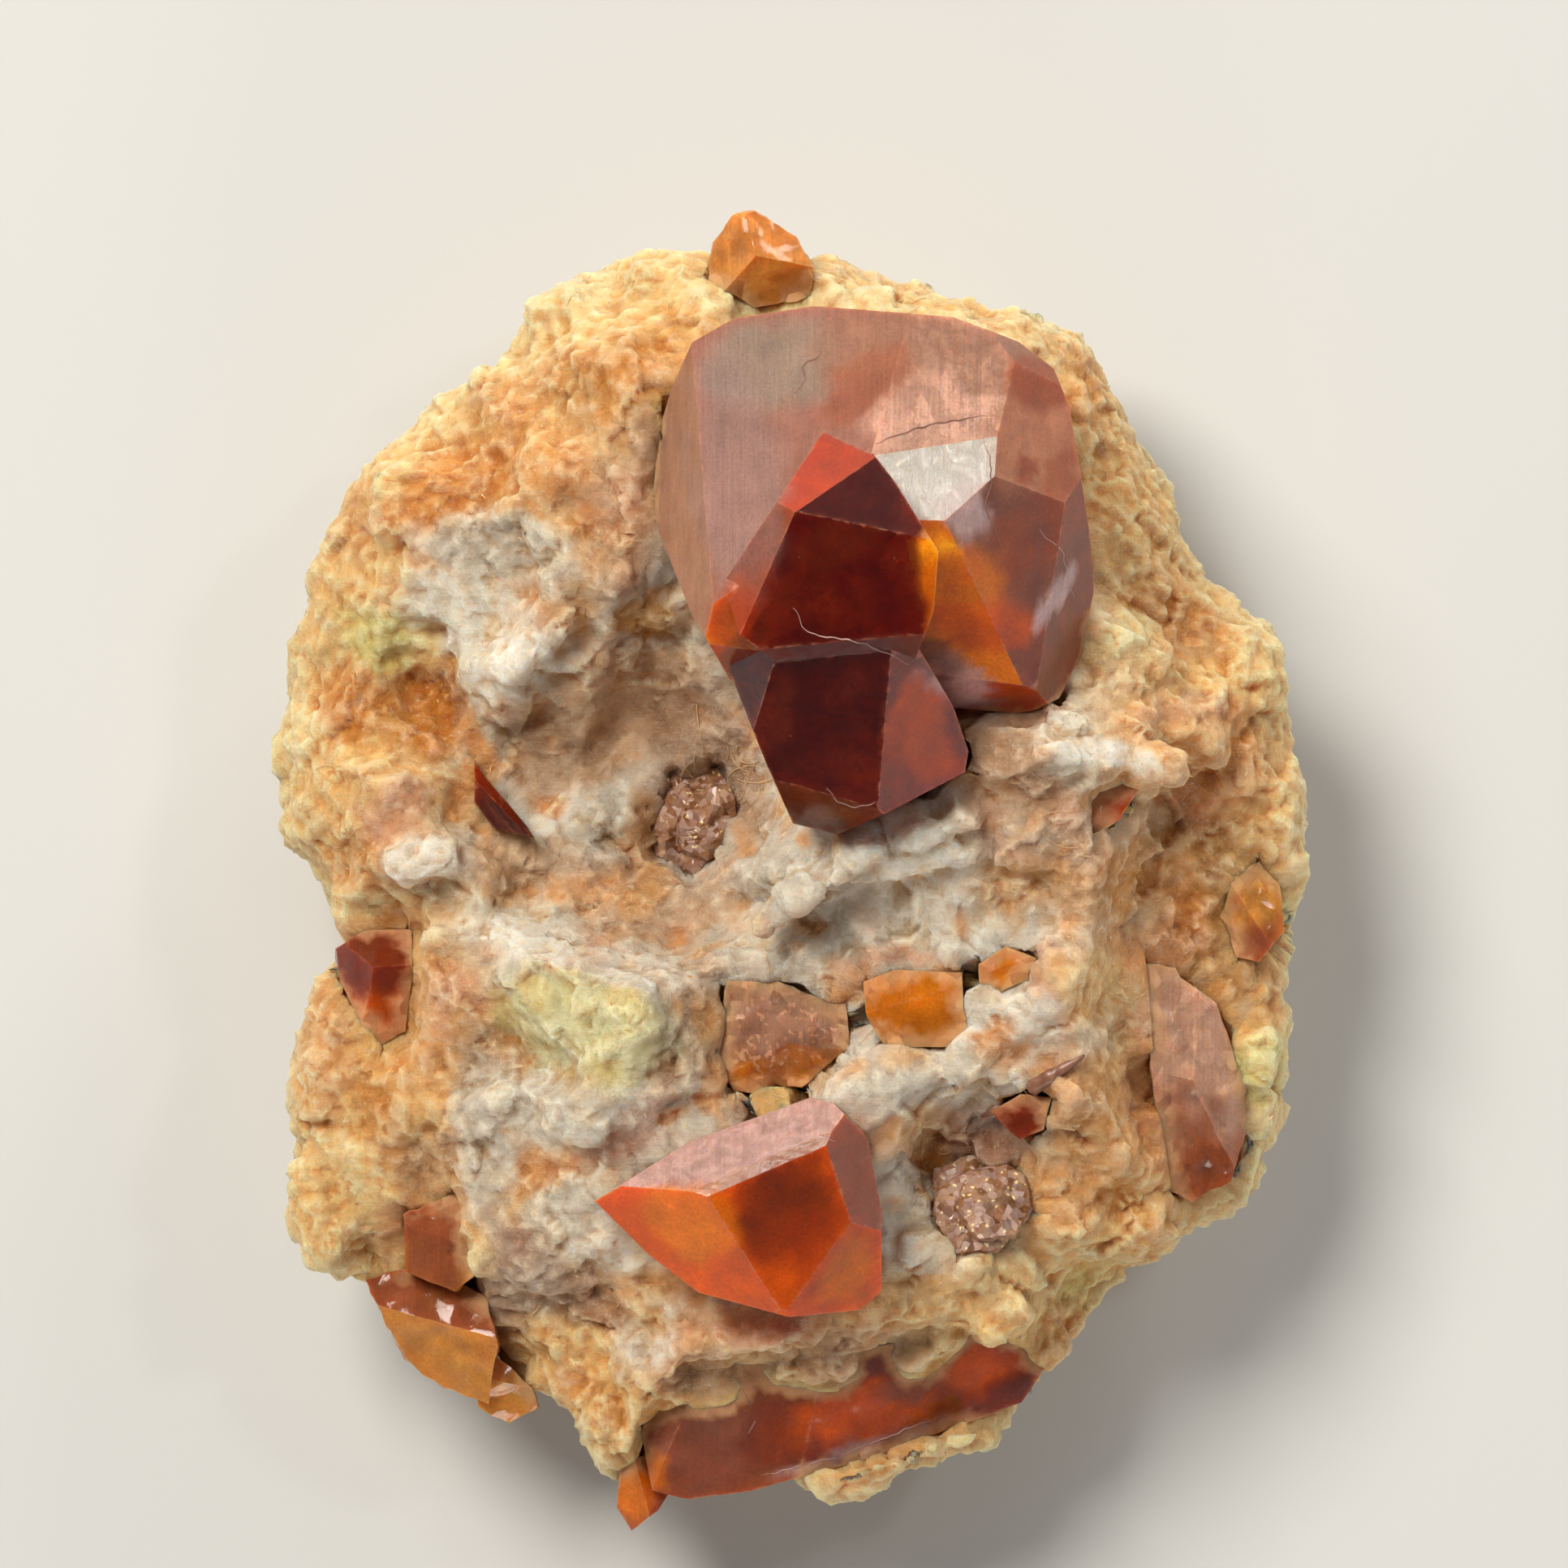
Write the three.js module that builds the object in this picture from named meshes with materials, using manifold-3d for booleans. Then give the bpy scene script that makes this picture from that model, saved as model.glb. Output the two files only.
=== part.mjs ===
// Spessartine garnet crystals grown in a lump of feldspar and albite, lying on its back.
// Millimetres, +Z up. +Z is the display face, +Y its top edge and +X its right side.
// The origin is under the middle of the specimen, on the surface that it rests on.
import * as THREE from "three";
import { ConvexGeometry } from "three/addons/geometries/ConvexGeometry.js";
import { ImprovedNoise } from "three/addons/math/ImprovedNoise.js";
import { mergeVertices } from "three/addons/utils/BufferGeometryUtils.js";
import Module from "manifold-3d";

const wasm = await Module();
wasm.setup();

// Driving dimensions of the whole specimen
const rimHeight = 5.4; // height of the widest girdle of the rock above the surface
const pocketGap = 0.3; // clearance between a crystal and the socket it grew in
const rockDetail = 17; // subdivisions of the rock's mesh
const rockPrecision = 1e-4;

const colours = {
  rock: 0xe2c08c,
  redGarnet: 0x7a1c0a,
  orangeGarnet: 0xb4500f,
  brownGarnet: 0x8a4a2a,
  mica: 0x8d6f55,
};

// The rock's outline seen from the front, clockwise from the top.
const outline = [
  [0.8, 20.7], [2.5, 20.2], [4.1, 19.7], [6.3, 19.1], [8.1, 19.1], [9.8, 18.3], [10.7, 17.3],
  [11.2, 16.2], [12.3, 13.4], [12.8, 12.2], [13.5, 10.9], [13.2, 10.3], [14.6, 9.4], [15.7, 8.5],
  [16.3, 7.5], [16.9, 5.2], [17.4, 1.8], [17.4, -0.7], [16.9, -4.9], [16.4, -8.4], [15.9, -10.6],
  [15.6, -11.4], [14.8, -11.3], [13.4, -12.5], [11.9, -13.7], [10.1, -15.3], [8.6, -17.1],
  [7.9, -18.2], [6.1, -19.5], [3.3, -20.3], [3.1, -20.9], [0.9, -21.3], [-1.3, -21.2],
  [-3.4, -21.4], [-4.8, -21.4], [-5.9, -20.7], [-6.8, -19.3], [-8.0, -18.1], [-9.2, -16.9],
  [-12.0, -16.1], [-13.4, -14.5], [-14.7, -13.6], [-15.3, -13.8], [-17.1, -12.4], [-16.8, -10.3],
  [-16.7, -9.0], [-16.8, -5.8], [-16.6, -4.4], [-15.6, -3.4], [-15.1, -2.5], [-16.0, -1.1],
  [-16.6, 0.2], [-17.2, 1.5], [-17.0, 3.1], [-17.4, 4.6], [-17.1, 6.0], [-17.2, 6.7],
  [-16.6, 7.9], [-16.7, 9.8], [-16.1, 11.4], [-15.3, 12.8], [-14.9, 13.8], [-12.3, 15.7],
  [-12.1, 16.5], [-10.0, 17.5], [-8.4, 18.9], [-8.1, 19.4], [-7.1, 20.3], [-6.3, 20.3],
  [-4.7, 21.3], [-2.8, 21.0], [-0.9, 20.6],
];

// Heights of the display face: x, y and height above the surface it rests on.
const frontHeights = {
  topRim: [
    [-0.9, 20.2, 11], [-4.8, 20.3, 10.5], [-7.0, 18.7, 11.5], [-3.1, 19.2, 13.4],
    [3.5, 19.6, 12.6], [7.6, 18.6, 12.6], [10.4, 17.3, 11.4],
  ],
  leftShoulder: [
    [-5.9, 16.7, 13.4], [-8.9, 16.4, 11.5], [-11.4, 14.2, 11], [-8.1, 13.1, 13],
    [-5.1, 12.6, 13.2], [-14.5, 11.8, 10], [-12.5, 10.4, 11.8], [-9.2, 9.8, 13.4],
    [-5.9, 9.8, 12.8], [-15.8, 7.6, 9.5],
  ],
  leftHollow: [[-14.2, 6.0, 10.2], [-12.0, 6.4, 9.4], [-9.8, 7.1, 12.6], [-7.0, 7.6, 11.4]],
  bowl: [
    [-4.8, 8.2, 10.4], [-8.1, 4.0, 9.4], [-4.8, 4.9, 8.8], [-3.1, 2.1, 7.8],
    [-4.0, 0.4, 8.2], [-9.8, 2.1, 9.3], [-7.0, -0.1, 9.6],
  ],
  leftLump: [[-13.6, 2.1, 11.2], [-12.5, 0.4, 11.6], [-15.8, 0.7, 9.6]],
  ledge: [
    [-10.3, -1.5, 11.4], [-7.6, -2.9, 13.2], [-3.4, -2.0, 12.6], [-5.4, -4.8, 14],
    [-11.4, -3.4, 12], [-0.7, -0.7, 12.6], [3.5, 0.7, 13.6], [5.7, 2.7, 14.4],
  ],
  lowerLeft: [
    [-13.6, -2.9, 9.2], [-15.3, -6.2, 10.6], [-15.8, -10.3, 10.4], [-12.5, -7.6, 11.4],
    [-9.2, -7.0, 13], [-7.0, -8.9, 13], [-9.8, -11.2, 11.5], [-12.0, -10.3, 9.8],
    [-8.1, -13.4, 11.5], [-7.0, -11.7, 12], [-11.2, -15.6, 7.5], [-13.0, -14.6, 7.6],
  ],
  rightLump: [[8.4, 3.8, 15.6], [11.8, 3.5, 14.4], [10.4, 0.7, 13.4], [7.6, -0.7, 12.9]],
  middle: [
    [3.5, -1.5, 12.6], [4.9, -4.8, 13.4], [9.0, -3.4, 13.8], [11.0, -2.9, 13.2],
    [1.5, -3.4, 12.4], [-0.7, -5.9, 11.8], [2.9, -6.7, 13.2], [6.2, -7.0, 13],
    [9.5, -7.6, 13.2], [11.6, -8.9, 12.4], [6.2, -10.3, 11.2], [4.9, -8.9, 12.8],
    [9.0, -11.7, 12], [6.2, -13.1, 12.4],
  ],
  underside: [
    [3.5, -15.0, 12.4], [-0.7, -15.8, 12], [-4.8, -15.0, 10.4], [-3.1, -16.7, 11.8],
    [-7.0, -16.7, 9.6], [-7.6, -15.0, 10.4], [6.2, -15.0, 11], [2.1, -17.2, 10.8],
    [-2.0, -18.2, 8.6], [9.8, -14.5, 8.6], [11.2, -11.2, 11],
  ],
  rightColumn: [
    [14.5, -7.6, 9.2], [13.1, -4.8, 9.4], [15.3, -2.0, 9.2], [14.5, 0.7, 10.2],
    [15.9, 3.5, 9.8], [14.5, -10.3, 8.4],
  ],
  rightShoulder: [
    [13.1, 6.2, 12], [14.0, 8.2, 10.6], [11.8, 10.4, 12], [11.2, 13.1, 11], [10.4, 7.6, 13],
  ],
};
const heightSharpness = 3.4; // how flat each surveyed height holds around its own point
const reliefMiddle = 12; // height that the relief swings about
const reliefGain = 1.25; // how far hollows and lumps are deepened from the surveyed heights
const backMiddle = [0.4, -0.6, -1.6]; // the back bulges to here before it is broken off flat
const backRise = 0.019; // how fast the back curves up away from there, per millimetre squared

// How the rock's broken surface strays from those smooth heights: lumps, then sharp ridges
const lumps = { size: 5.5, depth: 0.7 };
const ridges = { size: 3.1, depth: 1.1 };

// A flat face leans back by tilt degrees towards a bearing, 0 to the right and 90 to the top,
// and passes through the point x, y, z.
const leaning = (tilt, towards, x, y, z) => ({ tilt, towards, through: [x, y, z] });

// Where the rock has broken away flat: an outline, and the leaning face that is left inside it.
const breaks = {
  whiteCleavage: {
    outline: [[-10.9, 5.7], [-9.6, 8.1], [-6.6, 8.6], [-6.2, 7.5]],
    face: leaning(34, -125, -8.6, 7.2, 12.2),
  },
  bowlWall: {
    outline: [
      [-10.6, 4.3], [-8.7, 5.9], [-6.6, 7.4], [-3.8, 9.0], [-1.9, 4.9], [-1.2, 1.8],
      [-3.4, -0.4], [-7.6, -0.4], [-10.3, 1.0],
    ],
    face: leaning(30, -50, -8.7, 5.7, 11.8),
  },
  rightStep: {
    outline: [
      [13.4, 3.4], [11.9, -1.4], [11.6, -4.6], [12.4, -10.0], [13.2, -12.4], [19.0, -12.0],
      [19.0, -2.0], [16.0, 3.0],
    ],
    face: leaning(16, -12, 13.4, -4.0, 9.2),
  },
  greyRecess: {
    outline: [
      [-11.4, -9.0], [-9.4, -8.2], [-8.6, -11.0], [-9.0, -14.6], [-11.0, -15.0], [-12.6, -12.0],
    ],
    face: leaning(20, 200, -10.4, -11.6, 10.6),
  },
  brownRecess: {
    outline: [[-7.2, -13.4], [-4.6, -13.2], [-3.4, -15.0], [-4.2, -15.8], [-7.2, -15.2]],
    face: leaning(24, -110, -5.4, -14.4, 10.6),
  },
  leftNotch: {
    outline: [[-19.0, -1.6], [-13.0, -0.6], [-10.8, -1.7], [-12.0, -3.0], [-19.0, -4.0]],
    face: leaning(22, -150, -13.4, -2.0, 9.6),
  },
  lumpFront: {
    outline: [[6.2, 2.4], [13.4, 3.6], [14.4, 1.6], [11.0, 0.2], [6.4, 0.4]],
    face: leaning(30, -84, 9.4, 1.8, 13.9),
  },
  valley: {
    outline: [[-9.6, 0.4], [-2.4, 0.2], [-0.6, -1.4], [-3.6, -2.2], [-9.8, -1.2]],
    face: leaning(20, 84, -5.6, -1.0, 9.9),
  },
  leftRecess: {
    outline: [[-14.8, 7.0], [-11.4, 7.2], [-10.8, 4.8], [-12.0, 3.4], [-15.0, 3.8]],
    face: leaning(12, 215, -12.8, 5.4, 9.8),
  },
  shoulderScarp: {
    outline: [[-14.2, 10.6], [-12.4, 11.6], [-9.4, 11.4], [-8.8, 9.6], [-10.6, 7.2], [-14.4, 7.4]],
    face: leaning(18, -118, -11.2, 10.6, 11.0),
  },
  whiteBlock: {
    outline: [[-12.9, -4.6], [-9.8, -4.3], [-8.4, -6.6], [-12.4, -8.2], [-14.6, -6.8]],
    face: leaning(10, -112, -11.6, -5.2, 10.8),
  },
  darkHollow: {
    outline: [[4.8, -9.0], [6.4, -8.2], [7.4, -9.6], [7.0, -11.6], [5.0, -11.8], [4.2, -10.2]],
    face: leaning(16, -160, 6.0, -10.2, 10.4),
  },
  footScarp: {
    outline: [[-3.0, -17.0], [2.4, -16.2], [6.6, -14.6], [7.6, -15.8], [3.0, -18.2], [-3.2, -18.6]],
    face: leaning(30, -86, 1.6, -16.8, 10.2),
  },
};
const breakFlare = 24; // degrees by which the walls round a break open towards the front
const wallShare = 0.3; // share of the mesh kept for the side walls
const cornerPower = 5; // how squarely the faces turn into the side walls

// Each crystal is one or more blocks that grew into each other. A block has the outline that shows
// from the front, the faces that show, and a root that tapers into the rock.
const crystals = {
  garnet_main: {
    colour: colours.redGarnet,
    blocks: [
      {
        outline: [
          [-3.3, 17.9], [-1.9, 18.7], [0.8, 19.1], [5.5, 18.7], [7.7, 17.9], [8.9, 17.0],
          [9.7, 15.0], [10.1, 11.6], [10.4, 9.8], [10.0, 7.5], [9.1, 5.9], [8.3, 5.5],
          [4.9, 4.9], [0.2, 6.0], [-2.3, 6.2], [-3.3, 8.7], [-4.3, 10.4], [-4.9, 13.2],
          [-4.5, 15.3],
        ],
        girdle: 13.6,
        root: 5.2,
        faces: [
          leaning(32, 128, 2.7, 14.0, 19.5),
          leaning(72, 175, -3.3, 17.9, 15.3),
          leaning(22, 49, 2.7, 14.0, 19.5),
          leaning(19, 35, 2.7, 14.0, 19.5),
          leaning(42, 10, 7.0, 13.6, 18.3),
          leaning(60, 40, 8.3, 16.6, 16.9),
          leaning(38, -22, 6.0, 11.0, 18.4),
          leaning(62, -14, 8.8, 9.4, 15.9),
          leaning(30, -62, 5.0, 10.9, 18.8),
          leaning(64, -88, 5.7, 6.4, 16.0),
        ],
      },
      {
        outline: [
          [1.3, 15.1], [2.4, 14.9], [2.9, 14.1], [4.0, 12.5], [5.0, 11.2], [4.8, 8.7],
          [4.4, 7.7], [4.1, 6.9], [0.2, 6.6], [-1.7, 8.0], [-2.2, 9.8],
        ],
        girdle: 17.8,
        root: 7,
        faces: [
          leaning(44, 100, 2.6, 13.8, 19.7),
          leaning(32, 172, 0.0, 12.0, 20.8),
          leaning(29, 78, 0.3, 12.1, 20.9),
          leaning(10, -101, 0.3, 12.1, 20.9),
          leaning(66, -86, 2.1, 7.7, 20.0),
        ],
      },
      {
        outline: [
          [-2.1, 9.0], [0.7, 9.2], [4.6, 8.2], [5.5, 5.6], [6.1, 4.6], [5.9, 3.4],
          [3.2, 2.0], [1.6, 1.3], [0.0, 1.7], [-0.8, 3.7], [-2.0, 6.4],
        ],
        girdle: 14,
        root: 6,
        faces: [
          leaning(21, -97, 1.8, 7.6, 19.3),
          leaning(58, -104, 1.0, 2.6, 17.2),
          leaning(42, -30, 3.5, 5.6, 18.4),
          leaning(40, -170, -0.4, 7.8, 19.2),
        ],
      },
    ],
  },
  garnet_lower: {
    colour: colours.orangeGarnet,
    blocks: [
      {
        outline: [
          [-6.6, -11.1], [-3.4, -9.1], [0.7, -7.6], [1.5, -7.8], [2.6, -8.9], [3.1, -11.4],
          [3.1, -14.2], [2.4, -14.8], [0.0, -15.0], [-3.1, -14.2], [-4.8, -12.9], [-5.9, -11.8],
        ],
        girdle: 13,
        root: 6,
        faces: [
          leaning(50, 116, 0.3, -9.0, 16.2),
          leaning(27, 120, 0.0, -9.4, 16.4),
          leaning(20, -76, 0.7, -9.6, 16.5),
          leaning(44, -4, 2.2, -10.0, 15.6),
          leaning(48, -48, 1.9, -13.4, 14.4),
          leaning(46, -128, -3.2, -13.2, 14.2),
        ],
      },
    ],
  },
  garnet_base_plate: {
    colour: colours.brownGarnet,
    blocks: [
      {
        outline: [
          [-5.1, -19.0], [-3.4, -16.9], [7.1, -15.6], [8.7, -16.9], [7.9, -18.1], [3.3, -19.8],
          [-1.3, -21.1], [-3.4, -21.4], [-4.7, -21.1],
        ],
        girdle: 6.8,
        root: 4.6,
        faces: [
          leaning(24, -96, -2.0, -19.0, 8.5),
          leaning(30, -62, 3.0, -18.0, 8.5),
          leaning(38, 190, -4.4, -19.6, 7.9),
        ],
      },
      {
        outline: [
          [-5.8, -20.3], [-5.0, -19.9], [-4.0, -21.0], [-4.5, -21.8], [-5.4, -22.5],
          [-5.9, -21.7],
        ],
        girdle: 5.8,
        root: 4.2,
        faces: [leaning(34, 10, -5.0, -21.0, 7.3), leaning(30, 200, -5.1, -21.0, 7.3)],
      },
    ],
  },
  garnet_left_notch: {
    colour: colours.orangeGarnet,
    blocks: [
      {
        outline: [
          [-15.5, -2.6], [-14.5, -2.0], [-12.9, -2.0], [-12.8, -3.4], [-13.1, -5.4],
          [-14.0, -5.9], [-14.6, -5.1], [-15.3, -3.8],
        ],
        girdle: 7.6,
        root: 4.6,
        faces: [
          leaning(42, 92, -14.0, -3.2, 9.8),
          leaning(18, -80, -14.0, -3.3, 9.8),
          leaning(40, 190, -14.6, -3.6, 9.4),
        ],
      },
    ],
  },
  garnet_lower_left: {
    colour: colours.orangeGarnet,
    blocks: [
      {
        outline: [
          [-13.1, -11.7], [-11.4, -10.9], [-10.3, -11.7], [-10.2, -13.4], [-11.4, -14.2],
          [-13.1, -13.6],
        ],
        girdle: 8,
        root: 4.4,
        faces: [leaning(24, 70, -11.6, -12.4, 9.5), leaning(20, -110, -11.6, -12.6, 9.5)],
      },
      {
        outline: [
          [-14.5, -13.9], [-12.5, -13.4], [-10.3, -14.5], [-10.0, -16.1], [-10.3, -18.1],
          [-11.8, -17.6], [-13.1, -16.6],
        ],
        girdle: 6.2,
        root: 3.6,
        faces: [leaning(22, 100, -12.0, -15.2, 8.4), leaning(34, -120, -12.0, -15.4, 8.4)],
      },
      {
        outline: [[-11.2, -15.6], [-8.8, -17.6], [-8.6, -18.3], [-9.6, -18.8], [-10.6, -18.2]],
        girdle: 5.8,
        root: 4.2,
        faces: [leaning(30, -80, -9.8, -17.4, 7.4), leaning(20, 40, -9.8, -17.4, 7.4)],
      },
    ],
  },
  garnet_top_tip: {
    colour: colours.orangeGarnet,
    blocks: [
      {
        outline: [
          [-2.8, 20.0], [-2.6, 21.4], [-1.9, 22.3], [-1.2, 22.5], [0.2, 21.6], [0.8, 20.6],
          [0.7, 19.6], [-1.2, 19.2],
        ],
        girdle: 8.6,
        root: 5.8,
        faces: [
          leaning(34, -70, -0.6, 20.8, 11.1),
          leaning(40, 160, -1.4, 21.0, 11.1),
          leaning(36, 50, -0.8, 21.2, 11.0),
        ],
      },
    ],
  },
  garnet_right_edge: {
    colour: colours.orangeGarnet,
    blocks: [
      {
        outline: [
          [15.1, -0.2], [16.0, 0.4], [16.7, -0.4], [16.8, -2.0], [16.0, -3.1], [15.2, -2.9],
          [14.7, -1.5],
        ],
        girdle: 7.6,
        root: 5,
        faces: [leaning(26, 30, 15.6, -1.2, 9.0), leaning(24, 215, 15.6, -1.4, 9.0)],
      },
    ],
  },
  garnet_right_vein: {
    colour: colours.redGarnet,
    blocks: [
      {
        outline: [
          [12.0, -3.1], [13.1, -3.3], [14.5, -4.5], [15.4, -7.0], [15.6, -8.9], [15.0, -10.5],
          [13.7, -11.2], [12.9, -10.9], [12.4, -7.6],
        ],
        girdle: 7.8,
        root: 4.4,
        faces: [
          leaning(16, 20, 13.6, -6.0, 9.6),
          leaning(20, -60, 13.6, -8.0, 9.4),
          leaning(40, 0, 14.6, -7.0, 8.9),
        ],
      },
    ],
  },
  garnet_centre_amber: {
    colour: colours.orangeGarnet,
    blocks: [
      {
        outline: [
          [2.5, -3.7], [3.5, -3.3], [5.8, -3.4], [6.0, -5.4], [5.4, -5.9], [3.2, -5.9],
          [2.6, -4.9],
        ],
        girdle: 12.2,
        root: 8,
        faces: [leaning(7, -80, 4.2, -4.4, 13.1), leaning(10, 110, 4.2, -4.2, 13.1)],
      },
    ],
  },
  garnet_centre_bead: {
    colour: colours.orangeGarnet,
    blocks: [
      {
        outline: [[6.4, -3.1], [7.3, -2.5], [8.3, -2.9], [8.2, -3.6], [7.1, -4.0], [6.4, -3.7]],
        girdle: 12.6,
        root: 9,
        faces: [leaning(10, -70, 7.3, -3.2, 13.2), leaning(10, 110, 7.3, -3.1, 13.2)],
      },
    ],
  },
  garnet_crushed: {
    colour: colours.brownGarnet,
    blocks: [
      {
        outline: [
          [-2.0, -3.8], [-0.4, -3.6], [1.8, -4.5], [2.1, -5.9], [0.4, -7.3], [-1.9, -7.4],
          [-2.5, -6.2],
        ],
        girdle: 11.6,
        root: 7.4,
        faces: [
          leaning(9, 60, 0.0, -5.2, 12.4),
          leaning(12, 200, -0.6, -5.4, 12.4),
          leaning(24, -90, -0.4, -6.2, 12.3),
        ],
      },
    ],
  },
  garnet_right_slit: {
    colour: colours.orangeGarnet,
    blocks: [
      {
        outline: [[9.8, 1.8], [10.4, 2.8], [11.3, 3.1], [11.8, 2.8], [11.2, 1.8], [10.2, 1.2]],
        girdle: 12.6,
        root: 9,
        faces: [leaning(14, -55, 10.8, 2.2, 13.3), leaning(12, 125, 10.8, 2.3, 13.3)],
      },
    ],
  },
  garnet_low_right: {
    colour: colours.redGarnet,
    blocks: [
      {
        outline: [[6.8, -8.1], [7.8, -7.5], [8.9, -7.6], [8.6, -8.7], [7.8, -9.0]],
        girdle: 11.8,
        root: 8,
        faces: [leaning(18, -90, 7.8, -8.1, 12.5), leaning(16, 60, 7.9, -8.0, 12.5)],
      },
    ],
  },
  garnet_bowl_small: {
    colour: colours.redGarnet,
    blocks: [
      {
        outline: [[-10.7, 3.7], [-9.8, 2.6], [-8.7, 1.2], [-10.1, 1.5], [-10.7, 2.4]],
        girdle: 9.6,
        root: 6.4,
        faces: [leaning(34, 30, -9.9, 2.3, 11.1), leaning(26, -120, -9.9, 2.3, 11.1)],
      },
    ],
  },
};

// Books of mica: a few cleaved sheets that lie askew on each other, in a socket of the rock.
const micaBooks = {
  mica_bowl: {
    outline: [
      [-4.6, 1.7], [-3.9, 3.3], [-2.4, 3.5], [-1.9, 2.1], [-2.3, 0.5], [-3.4, -0.2],
      [-4.4, 0.4],
    ],
    root: 4.0,
    top: 7.3,
    sheets: 4,
    lean: leaning(16, -40, -3.2, 1.6, 7.3),
  },
  mica_low_right: {
    outline: [
      [5.0, -10.3], [6.2, -9.6], [7.9, -10.0], [8.3, -11.4], [7.3, -12.7], [5.7, -12.9],
      [4.9, -11.7],
    ],
    root: 7.2,
    top: 10.6,
    sheets: 4,
    lean: leaning(18, 60, 6.6, -11.2, 10.6),
  },
};
const sheetStep = 0.55; // height of one cleaved sheet
const sheetInset = 0.16; // share by which each sheet up is smaller
const rootTaper = 11; // degrees by which a crystal's sides close in towards its root
const socketTop = 34; // height past which nothing of the rock is left in a socket
const flatFloor = 12; // depth of the block that breaks the back off flat

const radians = THREE.MathUtils.degToRad;
const noise = new ImprovedNoise();

function solidOf(geometry) {
  const bare = geometry.clone();
  for (const name of Object.keys(bare.attributes)) {
    if (name !== "position") bare.deleteAttribute(name);
  }
  const merged = mergeVertices(bare, rockPrecision);
  return new wasm.Manifold(
    new wasm.Mesh({
      numProp: 3,
      vertProperties: new Float32Array(merged.attributes.position.array),
      triVerts: new Uint32Array(merged.index.array),
    }),
  );
}

function geometryOf(solid) {
  const mesh = solid.getMesh();
  const points = new Float32Array(mesh.numVert * 3);
  for (let i = 0; i < mesh.numVert; i++) {
    points.set(mesh.vertProperties.subarray(i * mesh.numProp, i * mesh.numProp + 3), i * 3);
  }
  const geometry = new THREE.BufferGeometry();
  geometry.setAttribute("position", new THREE.BufferAttribute(points, 3));
  geometry.setIndex(new THREE.BufferAttribute(mesh.triVerts, 1));
  geometry.computeVertexNormals();
  return geometry;
}

// The half-space behind a leaning face, as a plane whose normal points out of the crystal.
function planeOf({ tilt, towards, through }) {
  const normal = new THREE.Vector3(
    Math.sin(radians(tilt)) * Math.cos(radians(towards)),
    Math.sin(radians(tilt)) * Math.sin(radians(towards)),
    Math.cos(radians(tilt)),
  );
  return new THREE.Plane().setFromNormalAndCoplanarPoint(normal, new THREE.Vector3(...through));
}

// The sides of a block: for each edge of its outline a wall that closes in towards the root by
// taper degrees, and one that stands straight up from the girdle.
function sidePlanes(points, girdle, taper = rootTaper) {
  const middle = new THREE.Vector2();
  for (const [x, y] of points) middle.add(new THREE.Vector2(x, y).divideScalar(points.length));
  return points.flatMap(([x, y], i) => {
    const [nextX, nextY] = points[(i + 1) % points.length];
    const outwards = new THREE.Vector2(nextY - y, x - nextX).normalize();
    if (outwards.dot(new THREE.Vector2(x, y).sub(middle)) < 0) outwards.negate();
    return [taper, 0].map((closing) => {
      const normal = new THREE.Vector3(
        outwards.x * Math.cos(radians(closing)),
        outwards.y * Math.cos(radians(closing)),
        -Math.sin(radians(closing)),
      );
      return new THREE.Plane().setFromNormalAndCoplanarPoint(
        normal,
        new THREE.Vector3(x, y, girdle),
      );
    });
  });
}

// The convex solid that lies behind all the planes, each moved outwards by grow.
function convexSolid(planes, grow = 0) {
  const grown = planes.map((plane) => new THREE.Plane(plane.normal, plane.constant - grow));
  const corners = [];
  const meet = new THREE.Matrix3();
  grown.forEach((a, i) =>
    grown.slice(i + 1).forEach((b, j) =>
      grown.slice(i + j + 2).forEach((c) => {
        meet.set(...a.normal.toArray(), ...b.normal.toArray(), ...c.normal.toArray());
        if (Math.abs(meet.determinant()) < 1e-6) return;
        const corner = new THREE.Vector3(-a.constant, -b.constant, -c.constant);
        corner.applyMatrix3(meet.invert());
        const inside = grown.every((plane) => plane.distanceToPoint(corner) < 1e-5);
        if (inside && corners.every((other) => other.distanceTo(corner) > 0.02)) {
          corners.push(corner);
        }
      }),
    ),
  );
  return solidOf(new ConvexGeometry(corners));
}

const level = (height, upwards) =>
  new THREE.Plane(new THREE.Vector3(0, 0, upwards ? 1 : -1), upwards ? -height : height);

function crystalSolid({ blocks }) {
  return blocks
    .map(({ outline: points, girdle, root, faces }) =>
      convexSolid([...sidePlanes(points, girdle), level(root, false), ...faces.map(planeOf)]),
    )
    .reduce((joined, block) => joined.add(block));
}

// The socket round a crystal: the same sides and root, moved out, and open to the front.
function crystalSocket({ blocks }) {
  return blocks
    .map(({ outline: points, girdle, root }) =>
      convexSolid(
        [...sidePlanes(points, girdle), level(root, false), level(socketTop, true)],
        pocketGap,
      ),
    )
    .reduce((joined, block) => joined.add(block));
}

function micaPlanes({ outline: points, root, top }) {
  return [...sidePlanes(points, top), level(root, false)];
}

function micaSolid(book) {
  const middle = [0, 1].map(
    (axis) => book.outline.reduce((sum, point) => sum + point[axis], 0) / book.outline.length,
  );
  const sheets = Array.from({ length: book.sheets }, (_, i) => {
    const share = 1 - sheetInset * i;
    const askew = [Math.cos(i * 2.1), Math.sin(i * 2.1)].map((way) => way * i * 0.16);
    const points = book.outline.map((point) =>
      point.map((value, axis) => middle[axis] + (value - middle[axis]) * share + askew[axis]),
    );
    const lean = { ...book.lean, through: [...book.lean.through] };
    lean.through[2] += sheetStep * (i - book.sheets + 2);
    return convexSolid([
      ...micaPlanes({ ...book, outline: points }),
      planeOf(lean),
    ]);
  });
  return sheets.reduce((joined, sheet) => joined.add(sheet));
}

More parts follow.
